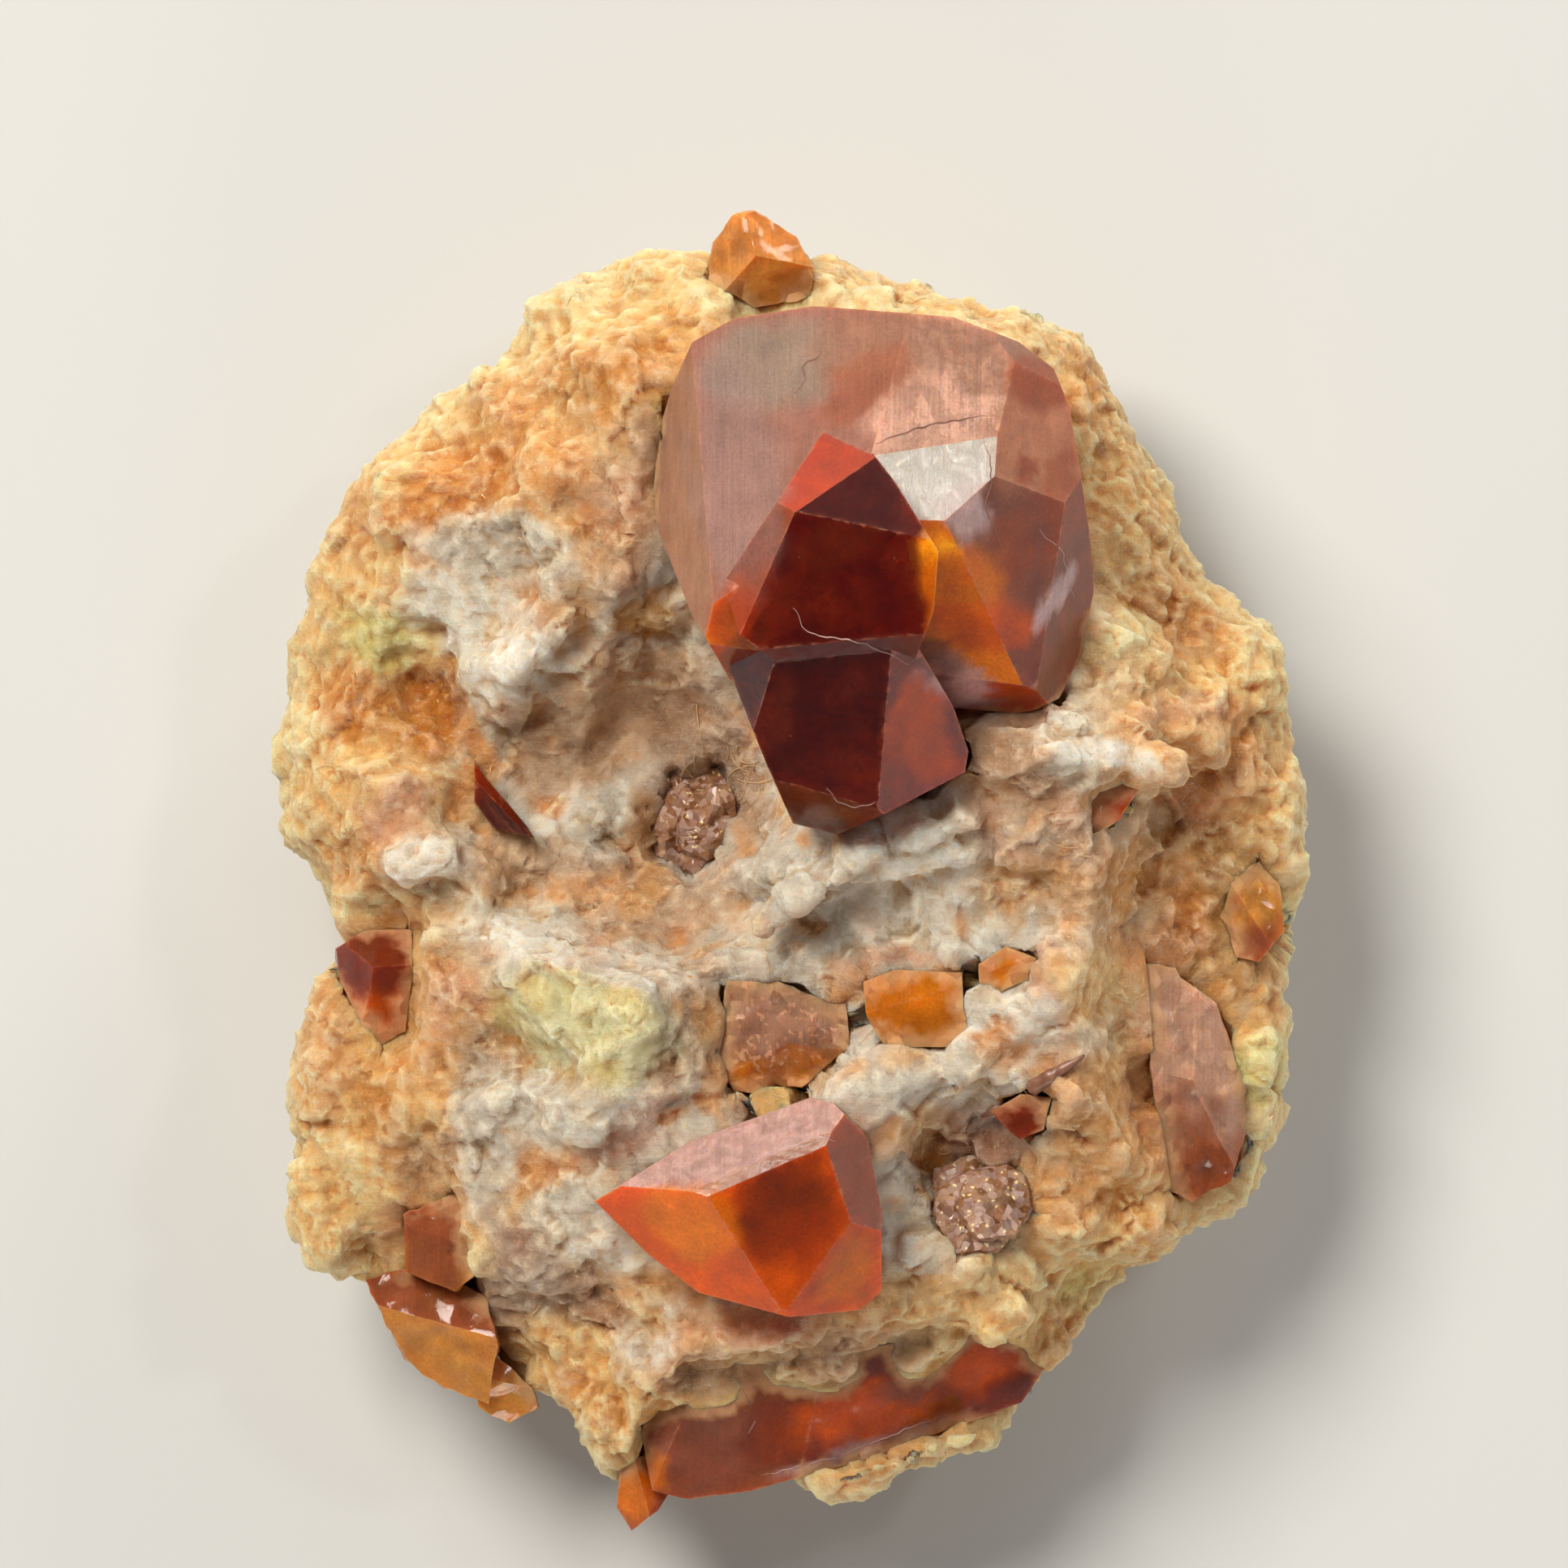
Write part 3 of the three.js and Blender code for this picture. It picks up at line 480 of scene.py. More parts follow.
def relax(mesh, points, rounds):
    # Rounds the facets off by moving each point towards the middle of its neighbours
    ends = np.empty(len(mesh.edges) * 2, np.int64)
    mesh.edges.foreach_get("vertices", ends)
    first, second = ends.reshape(-1, 2).T
    count = np.bincount(ends, minlength=len(points))[:, None]
    for _ in range(rounds):
        total = np.zeros_like(points)
        for axis in range(3):
            total[:, axis] += np.bincount(first, points[second, axis], len(points))
            total[:, axis] += np.bincount(second, points[first, axis], len(points))
        points = points + 0.6 * (total / count - points)
    return points


def surfaceTree(names):
    # The surfaces of these nodes, in millimetres, to measure to
    corners = []
    faces = []
    for name in names:
        start = len(corners)
        corners += [vertex.co / mm for vertex in nodes[name].data.vertices]
        faces += [
            [start + corner for corner in face.vertices] for face in nodes[name].data.polygons
        ]
    return BVHTree.FromPolygons(corners, faces)


def closeUp(points, names, reach):
    # Draws the walls of the sockets in until they touch the crystals; returns the closeness too
    tree = surfaceTree(names)
    closeness = np.zeros(len(points))
    ragged = wander(points, 0.8, 4) + 0.5 * wander(points, 0.35, 5)
    for i, point in enumerate(points):
        nearest, normal, _, distance = tree.find_nearest(Vector(point), reach)
        if nearest is None:
            continue
        side = (Vector(point) - nearest).dot(normal)
        share = 1 - max(0, distance - 0.4) / (reach - 0.4)
        share = max(0, min(1, share))
        if normal.z > 0.5:
            share *= max(0, min(1, (0.6 - side) / 0.3))
        target = -0.12 + max(0, normal.z) * (rock["lipOver"] + 0.22 * ragged[i])
        points[i] += np.array(normal) * (target - side) * share * share
        closeness[i] = share
    return closeness


def patchColours(points, up, warped):
    # The rim, sides and back are stained orange, the middle is white and grey; the display face
    # has its patches on top
    blends = [wander(points, size, seed) for size, seed in ((4.5, 1), (2.4, 2), (1.1, 3))]
    rim = smooth(0.52, 0.86, np.hypot(points[:, 0] / 17, points[:, 1] / 21) + 0.12 * blends[0])
    rim = np.maximum(rim, smooth(0.2, -0.2, up))
    bases = []
    for first, others in (
        ("milk", ("beige", "blush", "white", "sand", "tan")),
        ("cream", ("tan", "orange", "paleCream", "cream", "ochre")),
    ):
        base = np.tile(linear(first), (len(points), 1))
        shares = (
            smooth(-0.05, 0.4, blends[0]),
            smooth(0.1, 0.5, blends[1]),
            smooth(0.1, 0.45, -blends[0]),
            smooth(0.2, 0.5, -blends[1]),
            smooth(0.2, 0.5, blends[2]),
        )
        for colour, share in zip(others, shares):
            base += (np.array(linear(colour)) - base) * share[:, None] * 0.75
        bases.append(base)
    base = bases[0] + (bases[1] - bases[0]) * rim[:, None]
    # Painted rim light: the outermost edge is paled towards cream as a glow
    paintedRimGlow = smooth(0.88, 1.0, np.hypot(points[:, 0] / 17.4, points[:, 1] / 22)) * 0.6
    base += (np.array(linear("paleCream")) - base) * paintedRimGlow[:, None]
    facing = smooth(-0.1, 0.35, up)
    for colour, x, y, wide, high, turn, strength in rockPatches:
        across = warped[:, 0] - x
        along = warped[:, 1] - y
        angle = math.radians(turn)
        u = (across * math.cos(angle) + along * math.sin(angle)) / wide
        v = (along * math.cos(angle) - across * math.sin(angle)) / high
        share = smooth(1.25, 0.55, np.hypot(u, v)) * strength * facing
        base += (np.array(linear(colour)) - base) * share[:, None]
    return base


def buildRock():
    mesh = remeshed("matrix", rock["voxel"])
    points = relax(mesh, positions(mesh), rock["smoothRounds"])
    move(mesh, points)
    out = normals(mesh)
    smoothness = smooth(1.0, 0.3, np.hypot((points[:, 0] + 5.5) / 3.6, (points[:, 1] - 4.6) / 3.0))
    lump = wander(points, rock["lump"][0], 6) * rock["lump"][1]
    crag = (0.2 - abs(wander(points, rock["crag"][0], 7))) * 2 * rock["crag"][1]
    block = broken(points, rock["block"][0], 3) * rock["block"][1]
    chip = broken(points, rock["chip"][0], 4) * rock["chip"][1]
    grit = wander(points, rock["grit"][0], 8) * rock["grit"][1]
    rim = np.hypot(points[:, 0] / 17, points[:, 1] / 21)
    grit = grit * (1 + smooth(0.6, 0.9, rim))
    relief = lump + (crag + block + chip + grit) * (1 - 0.75 * smoothness)
    points = points + out * relief[:, None]
    nests = [name for name in nodes if name.startswith("mica")]
    crystals = [name for name in nodes if name.startswith("garnet")]
    closeness = np.maximum(
        closeUp(points, nests, rock["nestReach"]), closeUp(points, crystals, rock["lipReach"])
    )
    points += (relax(mesh, points, 3) - points) * 0.6 * closeness[:, None]
    low, high = (np.array(corner) / mm for corner in cadBounds)
    points = np.clip(points, low, high)
    points[:, 2] = np.where(points[:, 2] < 0.6, np.maximum(points[:, 2], 0), points[:, 2])
    move(mesh, points)
    out = normals(mesh)
    tiny = ((relax(mesh, points, 3) - points) * out).sum(1)
    near = ((relax(mesh, points, 10) - points) * out).sum(1)
    wide = ((relax(mesh, points, 70) - points) * out).sum(1)
    size, depth = rock["warp"]
    warped = points + np.stack([wander(points, size, seed) for seed in (9, 10, 11)], 1) * depth
    fine = np.stack([wander(points, 0.6, seed) for seed in (12, 13, 14)], 1) * 0.35
    colours = patchColours(points, out[:, 2], warped + fine)
    # Painted shade in the hollows and painted highlight on the ridges, along with stain and pale broken
    # ridges; less of both near the crystals
    colours = hollowStainShadeRidgeHighlight(colours, *(share * (1 - 0.8 * closeness) for share in (tiny, near, wide)))
    paint(mesh, "tint", colours)
    sugar = smooth(0.62, 0.92, rim) * 0.8 + 0.2 + 0.5 * wander(points, 1.4, 15)
    paint(mesh, "sugar", np.clip(sugar * (1 - smoothness), 0, 1))
    paint(mesh, "sparkle", np.clip(sparkle(points) * smooth(-0.2, 0.3, out[:, 2]), 0, 1))
    paint(mesh, "close", closeness)
    for face in mesh.polygons:
        face.use_smooth = True
    mesh.materials.append(rockSurface)
    piece = linked("rock", mesh)
    belongs(piece, "feldspar_rock", "matrix")
    print("rock", len(mesh.polygons))
    return piece


def hollowStainShadeRidgeHighlight(colours, tiny, near, wide):
    # Stains the hollows orange and darkens them, partly real stain and partly painted shade, and whitens
    # the broken ridges, partly their own pale and partly painted highlight
    deep = smooth(0.02, rock["hollow"], near) * 0.5 + smooth(0.2, 0.9, wide) * 0.25
    deep = np.clip(deep + smooth(0.0, 0.06, tiny) * 0.25, 0, 0.8)
    paled = smooth(0.01, rock["ridge"], -near) * 0.3 + smooth(0.0, 0.06, -tiny) * 0.22
    # The darker orange is both stain and painted shade
    stain = colours * np.array((0.92, 0.6, 0.26))
    colours = colours + (stain - colours) * deep[:, None]
    # The pale ridge colour is partly painted highlight
    pale = 0.5 * np.array(linear("white")) + 0.5 * np.minimum(colours * 1.5, 0.85)
    return colours + (pale - colours) * paled[:, None]


def rockMaterial():
    # Waxy, half clear feldspar with clouds of stain under the surface and fine sugary sparkle
    made, graph = newMaterial("rockSurface")
    tint = graph.painted("tint", "Color")
    sugar = graph.painted("sugar")
    grey = graph.node("ShaderNodeSeparateColor", {0: graph.cells(rock["grain"], "Color")})
    shade = 1 - rock["speckle"] + grey * rock["speckle"] * 2
    shade = shade + (graph.cloud(0.11, 4, 0.85) - 0.5) * 0.7
    even = graph.node("ShaderNodeCombineColor", {0: shade, 1: shade, 2: shade})
    mottled = graph.tint(1.0, tint, even, "MULTIPLY")
    stain = graph.tint(1.0, mottled, (0.98, 0.74, 0.42, 1), "MULTIPLY")
    warm = graph.tint((graph.cloud(1.0, 5, 0.6) - 0.5) * 2.2, mottled, stain)
    frosted = graph.tint((0.46 - graph.cloud(0.8, 5, 0.65)) * 1.4, warm, (*linear("white"), 1))
    flecks = ((graph.cloud(0.2, 4, 0.8) - 0.56) * 6).clipped()
    pale = graph.tint(flecks * 0.55, frosted, (*linear("white"), 1))
    facets = graph.facets(rock["grain"]) * (0.5 + sugar * 0.6) + graph.facets(0.9) * 0.8
    fibres = graph.cloud(0.5, 5, 0.7, (0.3, 1.6, 0.8))
    sugary = graph.facets(0.17) * 0.4 + graph.cloud(0.14, 4, 0.75) * 0.7
    relief = facets + sugary * (0.7 + sugar) + fibres * 0.9
    bump = graph.node(
        "ShaderNodeBump", {"Strength": 1.0, "Distance": 0.26 * mm, "Height": relief}
    )
    surface = graph.node(
        "ShaderNodeBsdfPrincipled",
        {
            "Base Color": pale,
            "Roughness": 0.14 + graph.cloud(0.5, 2) * 0.28 + grey * 0.15,
            "Normal": bump,
            "IOR": 1.53,
            "Subsurface Weight": 1.0,
            "Subsurface Radius": (1.0, 0.72, 0.48),
            "Subsurface Scale": 0.65 * mm,
        },
    )
    graph.node("ShaderNodeOutputMaterial", {"Surface": surface})
    return made


# Bright slivers of mica that lie on the rock: how many to a square millimetre, their length,
# their shape, and where they lie.
crusts = {
    "glints": {
        "many": 3.0,
        "size": 0.34,
        "thin": (0.5, 0.06, 0.02),
        "thick": (1.5, 0.16, 0.06),
        "where": "sparkle",
        "least": 0.1,
        "seed": 8,
    },
}


def crustTree():
    # Half sinks small grains into a surface, where its painted share is above a limit
    tree = bpy.data.node_groups.new("crust", "GeometryNodeTree")
    kinds = {
        "Rock": "NodeSocketGeometry",
        "Density": "NodeSocketFloat",
        "Size": "NodeSocketFloat",
        "Thinnest": "NodeSocketVector",
        "Thickest": "NodeSocketVector",
        "Where": "NodeSocketString",
        "Least": "NodeSocketFloat",
        "Seed": "NodeSocketInt",
        "Material": "NodeSocketMaterial",
    }
    for name, kind in kinds.items():
        tree.interface.new_socket(name, in_out="INPUT", socket_type=kind)
    tree.interface.new_socket("Grains", in_out="OUTPUT", socket_type="NodeSocketGeometry")
    graph = Graph(tree)
    given = {name: graph.node("NodeGroupInput", output=name) for name in kinds}
    share = graph.node(
        "GeometryNodeInputNamedAttribute",
        {"Name": given["Where"]},
        "Attribute",
        data_type="FLOAT",
    )
    spread = {"Mesh": given["Rock"], "Seed": given["Seed"]}
    spread["Density"] = given["Density"] * share * share.above(given["Least"])
    points = graph.node("GeometryNodeDistributePointsOnFaces", spread, "Points")
    lump = graph.node("GeometryNodeMeshIcoSphere", {"Radius": 0.5, "Subdivisions": 1}, "Mesh")
    turned = {"Min": (0, 0, 0), "Max": (6.28, 6.28, 6.28), "Seed": given["Seed"]}
    turn = graph.node("FunctionNodeRandomValue", turned, "Value", data_type="FLOAT_VECTOR")
    shaped = {"Min": given["Thinnest"], "Max": given["Thickest"], "Seed": given["Seed"]}
    shape = graph.node("FunctionNodeRandomValue", shaped, "Value", data_type="FLOAT_VECTOR")
    scale = graph.node("ShaderNodeVectorMath", {0: shape, "Scale": given["Size"]}, operation="SCALE")
    placed = {"Points": points, "Instance": lump, "Rotation": turn, "Scale": scale}
    grains = graph.node("GeometryNodeInstanceOnPoints", placed)
    solid = graph.node("GeometryNodeRealizeInstances", {"Geometry": grains})
    coloured = {"Geometry": solid, "Material": given["Material"]}
    graph.node("NodeGroupOutput", {"Grains": graph.node("GeometryNodeSetMaterial", coloured)})
    return tree


def grown(name, tree, source, values):
    # A mesh made from another piece's mesh by a geometry tree, kept inside the CAD box
    maker = linked(name + "_maker", source.data)
    run = maker.modifiers.new("grow", "NODES")
    run.node_group = tree
    for item in tree.interface.items_tree:
        if item.in_out == "INPUT" and item.name in values:
            run[item.identifier] = values[item.name]
    seen = maker.evaluated_get(bpy.context.evaluated_depsgraph_get())
    mesh = bpy.data.meshes.new_from_object(seen)
    bpy.data.objects.remove(maker)
    low, high = (np.array(corner) / mm for corner in cadBounds)
    move(mesh, np.clip(positions(mesh), low, high))
    return linked(name, mesh)


def buildCrusts(piece):
    tree = crustTree()
    surfaces = {"glints": glintMaterial()}
    for name, crust in crusts.items():
        values = {
            "Density": crust["many"] / mm**2,
            "Size": crust["size"] * mm,
            "Thinnest": crust["thin"],
            "Thickest": crust["thick"],
            "Where": crust["where"],
            "Least": crust["least"],
            "Seed": crust["seed"],
            "Material": surfaces[name],
        }
        grains = grown(name, tree, piece, values)
        belongs(grains, "mica")
        print(name, len(grains.data.polygons))


def glintMaterial():
    made, graph = newMaterial("glintSurface")
    grey = graph.node("ShaderNodeSeparateColor", {0: graph.cells(0.5, "Color")})
    bright = graph.tint(grey, (*linear("honey"), 1), (*linear("paleCream"), 1))
    surface = graph.node(
        "ShaderNodeBsdfPrincipled",
        {"Base Color": bright, "Roughness": 0.15 + grey * 0.2, "IOR": 1.6},
    )
    graph.node("ShaderNodeOutputMaterial", {"Surface": surface})
    return made


# Where the slivers lie thickest: place, reach and share
sparkles = [
    (-0.2, -5.0, 2.8, 1.0),
    (-3.8, 2.9, 1.2, 0.9),
    (6.0, -11.0, 2.6, 0.9),
    (13.2, -5.0, 2.6, 1.0),
    (-15.0, 2.6, 2.2, 0.6),
    (-10.6, -14.6, 2.6, 0.5),
    (11.2, -1.6, 3.4, 0.6),
    (4.6, -17.8, 3.6, 0.5),
    (-1.6, 1.4, 2.4, 0.5),
    (8.0, -8.0, 2.2, 0.5),
]


def sparkle(points):
    total = np.full(len(points), 0.16)
    for x, y, reach, strength in sparkles:
        distance = np.hypot(points[:, 0] - x, points[:, 1] - y)
        total += smooth(reach, reach * 0.3, distance) * strength
    return total


garnet = {
    "step": 0.45,
    "density": 420,
    "absorbed": (255, 128, 40),
    "ior": 1.8,
    "film": 0.5,
    "smallFilm": 0.7,
}

# Crystal faces by the way they lean: tilt from level, bearing, colour, veil and silver.
# A veil is a satin skin that hides the clear inside, and silver is a bright reflection.
mainFaces = [
    (32, 128, "mauve", 0.8, 0.0),
    (72, 175, "skin", 0.6, 0.0),
    (22, 49, "pinkQuartz", 0.85, 0.0),
    (19, 35, "silver", 1.0, 0.45),
    (42, 10, "pinkSkin", 0.6, 0.0),
    (60, 40, "skin", 0.5, 0.0),
    (38, -22, "brownMauve", 0.35, 0.0),
    (62, -14, "brownMauve", 0.45, 0.0),
    (30, -62, "amber", 0.0, 0.0),
    (64, -88, "flame", 0.1, 0.0),
    (44, 100, "flame", 0.0, 0.0),
    (32, 172, "rustOrange", 0.15, 0.0),
    (29, 78, "burgundy", 0.1, 0.0),
    (10, -101, "deepRed", 0.0, 0.0),
    (66, -86, "deepRed", 0.0, 0.0),
    (21, -97, "wine", 0.0, 0.0),
    (58, -104, "wine", 0.0, 0.0),
    (42, -30, "rustRed", 0.0, 0.0),
    (40, -170, "darkBrown", 0.15, 0.0),
    (90, 45, "brownMauve", 0.5, 0.0),
    (90, 90, "brownMauve", 0.6, 0.0),
    (90, 135, "skin", 0.6, 0.0),
    (90, 0, "brownMauve", 0.5, 0.0),
    (90, -45, "rustRed", 0.3, 0.0),
    (90, -135, "burgundy", 0.2, 0.0),
]

palette.update(
    {
        "mauve": (157, 107, 90),
        "skin": (164, 118, 94),
        "pinkQuartz": (212, 164, 142),
        "silver": (214, 204, 192),
        "pinkSkin": (184, 122, 92),
        "brownMauve": (138, 78, 58),
        "amber": (222, 122, 6),
        "flame": (184, 62, 8),
        "rustRed": (128, 42, 8),
        "rustOrange": (160, 74, 26),
        "burgundy": (86, 15, 9),
        "wine": (80, 3, 0),
        "deepRed": (100, 6, 0),
        "darkBrown": (74, 24, 8),
        "clearOrange": (212, 88, 5),
        "lilac": (196, 166, 164),
        "redBrown": (150, 78, 40),
        "honey": (206, 132, 60),
        "edgeGlow": (204, 140, 112),
        "gold": (250, 170, 20),
        "deepAmber": (204, 116, 14),
    }
)

# For each other crystal: the colour of its upper and of its lower faces, its veil and roughness.
crystalLooks = {
    "garnet_lower": ("clearOrange", "clearOrange", 0.0, 0.0),
    "garnet_base_plate": ("redBrown", "redBrown", 0.35, 0.03),
    "garnet_left_notch": ("rustRed", "clearOrange", 0.2, 0.05),
    "garnet_lower_left": ("redBrown", "ochre", 0.45, 0.1),
    "garnet_top_tip": ("honey", "ochre", 0.5, 0.1),
    "garnet_right_edge": ("ochre", "redBrown", 0.4, 0.1),
    "garnet_right_vein": ("veinSkin", "redBrown", 0.6, 0.12),
    "garnet_centre_amber": ("deepAmber", "deepAmber", 0.3, 0.06),
    "garnet_centre_bead": ("deepAmber", "deepAmber", 0.3, 0.06),
    "garnet_crushed": ("skin", "deepAmber", 0.7, 0.2),
    "garnet_right_slit": ("flame", "flame", 0.1, 0.05),
    "garnet_low_right": ("rustRed", "rustRed", 0.2, 0.06),
    "garnet_bowl_small": ("rustRed", "darkBrown", 0.2, 0.06),
}

crystalSlots = {
    "garnet_main": "red_garnet",
    "garnet_right_vein": "red_garnet",
    "garnet_low_right": "red_garnet",
    "garnet_bowl_small": "red_garnet",
    "garnet_base_plate": "brown_garnet",
    "garnet_crushed": "brown_garnet",
}


def leaning(tilt, towards):
    # The direction that such a face looks in
    slope = math.radians(tilt)
    bearing = math.radians(towards)
    sideways = math.sin(slope)
    return Vector((sideways * math.cos(bearing), sideways * math.sin(bearing), math.cos(slope)))


def cutFine(work, step):
    # Splits the flat faces into triangles of about this size
    bmesh.ops.dissolve_limit(
        work, angle_limit=math.radians(0.4), verts=work.verts, edges=work.edges
    )
    bmesh.ops.triangulate(work, faces=work.faces)
    for _ in range(7):
        long = [edge for edge in work.edges if edge.calc_length() > step * mm]
        if not long:
            break
        bmesh.ops.subdivide_edges(work, edges=long, cuts=1)
        bmesh.ops.triangulate(work, faces=[face for face in work.faces if len(face.verts) > 3])


def paintFaces(mesh, colours, veils, silvers):
    # One colour, veil and silver share for each corner of each face
    tint = mesh.attributes.new("tint", "FLOAT_COLOR", "CORNER")
    values = np.ones((len(mesh.loops), 4), np.float32)
    values[:, :3] = colours
    tint.data.foreach_set("color", values.ravel())
    for name, shares in (("veil", veils), ("silver", silvers)):
        attribute = mesh.attributes.new(name, "FLOAT", "CORNER")
        attribute.data.foreach_set("value", np.asarray(shares, np.float32))


def cornerPlaces(mesh):
    # For each corner of each face its position, and its face's normal
    points = positions(mesh)
    where = np.empty(len(mesh.loops), np.int32)
    mesh.loops.foreach_get("vertex_index", where)
    faceNormals = np.empty(len(mesh.polygons) * 3, np.float32)
    mesh.polygons.foreach_get("normal", faceNormals)
    sizes = np.empty(len(mesh.polygons), np.int32)
    mesh.polygons.foreach_get("loop_total", sizes)
    return points[where], np.repeat(faceNormals.reshape(-1, 3), sizes, 0)


mainPatches = [
    ("greySkin", -0.6, 17.2, 2.4, 1.6, 12, 0.9, 0.1),
    ("skin", 3.4, 17.6, 3.0, 1.4, 0, 0.7, -0.1),
    ("rustOrange", 2.4, 16.4, 1.8, 1.0, 30, 0.4, -0.2),
    ("greyMauve", -1.8, 13.4, 1.6, 4.2, 5, 0.6, 0.0),
    ("pinkQuartz", 4.6, 16.0, 2.4, 1.0, 28, 0.7, 0.1),
    ("skin", 6.8, 17.4, 1.8, 1.2, -20, 0.6, -0.1),
    ("rustOrange", 8.6, 16.6, 1.2, 1.2, -30, 0.8, -0.4),
    ("pinkSkin", 7.6, 14.4, 1.2, 1.6, 0, 0.5, 0.0),
    ("rustOrange", 8.0, 13.6, 0.4, 0.5, 30, 0.9, -0.5),
    ("rustOrange", 9.2, 12.6, 0.5, 2.0, 0, 0.6, -0.3),
    ("lilac", 6.0, 12.2, 0.8, 0.9, 20, 0.9, 0.5),
    ("rustOrange", 7.4, 11.0, 1.0, 1.6, 10, 0.6, -0.2),
    ("gold", 5.0, 10.6, 0.8, 0.8, 0, 1.0, -0.5),
    ("amber", 5.9, 9.6, 1.6, 1.4, 0, 0.9, -0.5),
    ("clearOrange", 6.6, 8.3, 2.0, 0.9, 0, 0.8, -0.5),
    ("lilac", 8.8, 9.2, 0.4, 1.3, -35, 0.9, 0.3),
    ("brownMauve", 9.2, 7.4, 0.9, 1.4, 0, 0.6, 0.2),
    ("lilac", 5.6, 6.4, 1.5, 0.7, -24, 0.7, 0.5),
    ("darkBrown", 4.7, 7.2, 0.8, 0.5, -30, 0.6, 0.0),
    ("clearOrange", 4.4, 4.9, 1.0, 1.9, 12, 0.6, 0.0),
    ("flame", -1.9, 8.6, 0.6, 1.4, -25, 0.5, 0.0),
    ("rustRed", 1.6, 11.0, 1.6, 0.7, 10, 0.5, 0.0),
    ("rustRed", -0.6, 5.2, 0.6, 1.6, -25, 0.5, 0.0),
    ("darkBrown", -1.6, 7.2, 0.6, 1.2, -20, 0.5, 0.0),
    ("rustRed", 1.4, 2.4, 1.4, 0.6, -10, 0.5, 0.0),
]
palette["greySkin"] = (148, 126, 110)
palette["frost"] = (190, 150, 140)
palette["veinSkin"] = (196, 150, 124)
palette["filmTint"] = (206, 160, 116)

lowerPatches = [
    ("rustRed", -0.2, -11.4, 2.0, 1.6, 30, 0.8, -0.3),
    ("flame", 1.0, -12.8, 1.8, 1.4, 0, 0.4, 0.0),
    ("amber", -3.4, -11.9, 1.8, 1.2, -20, 0.8, -0.3),
    ("amber", 2.0, -13.4, 0.9, 1.2, 0, 0.6, 0.1),
    ("redBrown", 2.5, -9.8, 0.6, 1.4, 0, 0.6, 0.2),
]

lowerFaces = [
    (50, 116, "frost", 0.85, 0.0),
    (27, 120, "skin", 0.8, 0.0),
    (20, -76, "clearOrange", 0.0, 0.0),
    (44, -4, "redBrown", 0.1, 0.0),
    (48, -48, "clearOrange", 0.0, 0.0),
    (46, -128, "clearOrange", 0.0, 0.0),
]


platePatches = [
    ("brownMauve", -3.0, -19.4, 2.2, 1.8, 10, 0.7, 0.3),
    ("rustRed", -0.4, -19.2, 1.4, 1.2, 0, 0.6, 0.0),
    ("clearOrange", 2.6, -18.4, 2.6, 1.1, 12, 0.9, -0.2),
    ("brownMauve", 4.6, -17.4, 1.6, 0.6, 20, 0.8, 0.4),
    ("clearOrange", 6.6, -16.9, 1.8, 0.8, 24, 0.8, -0.2),
    ("amber", -5.1, -21.0, 0.8, 1.2, 0, 0.7, 0.0),
    ("lilac", 2.6, -19.6, 3.4, 0.3, 18, 0.6, 0.3),
]

plateFaces = [
    (24, -96, "redBrown", 0.15, 0.0),
    (30, -62, "rustRed", 0.1, 0.0),
    (38, 190, "brownMauve", 0.4, 0.0),
    (60, -90, "redBrown", 0.3, 0.0),
]

# The crystals that are painted face by face
painting = {
    "garnet_main": (mainFaces, mainPatches),
    "garnet_lower": (lowerFaces, lowerPatches),
    "garnet_base_plate": (plateFaces, platePatches),
}


def facePaint(faces, patches, points, facing):
    # Colours each corner by its face, then lays the patches over it
    ways = np.array([leaning(tilt, towards) for tilt, towards, *_ in faces])
    nearest = np.argmax(facing @ ways.T, 1)
    colours = np.array([linear(face[2]) for face in faces])[nearest]
    veils = np.array([face[3] for face in faces])[nearest]
    silvers = np.array([face[4] for face in faces])[nearest]
    warp = np.stack([wander(points, 1.6, seed) for seed in (20, 21)], 1) * 0.5
    warp += np.stack([wander(points, 0.5, seed) for seed in (22, 23)], 1) * 0.25
    for colour, x, y, wide, high, turn, strength, veil in patches:
        across = points[:, 0] + warp[:, 0] - x
        along = points[:, 1] + warp[:, 1] - y
        angle = math.radians(turn)
        u = (across * math.cos(angle) + along * math.sin(angle)) / wide
        v = (along * math.cos(angle) - across * math.sin(angle)) / high
        share = smooth(1.2, 0.7, np.hypot(u, v)) * strength * (1 - silvers)
        colours = colours + (np.array(linear(colour)) - colours) * share[:, None]
        veils = np.clip(veils + veil * share, 0, 1)
    mottle = 1 + 0.18 * wander(points, 0.9, 24) + 0.1 * wander(points, 0.35, 25)
    return colours * mottle[:, None], veils, silvers


def twoTone(look, points, facing):
    # The upper part has one colour and the lower part another, with a ragged border
    upper, lower, veil, _ = look
    low, high = points[:, 1].min(), points[:, 1].max()
    height = (points[:, 1] - low) / (high - low) * 2 - 0.9 + look[3] * 3
    share = height * 0.6 + facing[:, 1] * 0.6 + 0.5 * wander(points, 1.2, 26)
    share = smooth(-0.25, 0.35, share)[:, None]
    colours = np.array(linear(lower)) * (1 - share) + np.array(linear(upper)) * share
    colours = colours * (1 + 0.3 * wander(points, 0.7, 27))[:, None]
    veils = np.clip(veil * (0.6 + 0.8 * share[:, 0]) + 0.25 * wander(points, 0.5, 28), 0, 1)
    return colours, veils, np.zeros(len(points))


def pieceTree(piece):
    # A piece's surface in millimetres, to measure to
    faces = [face.vertices for face in piece.data.polygons]
    return BVHTree.FromPolygons(positions(piece.data), faces)


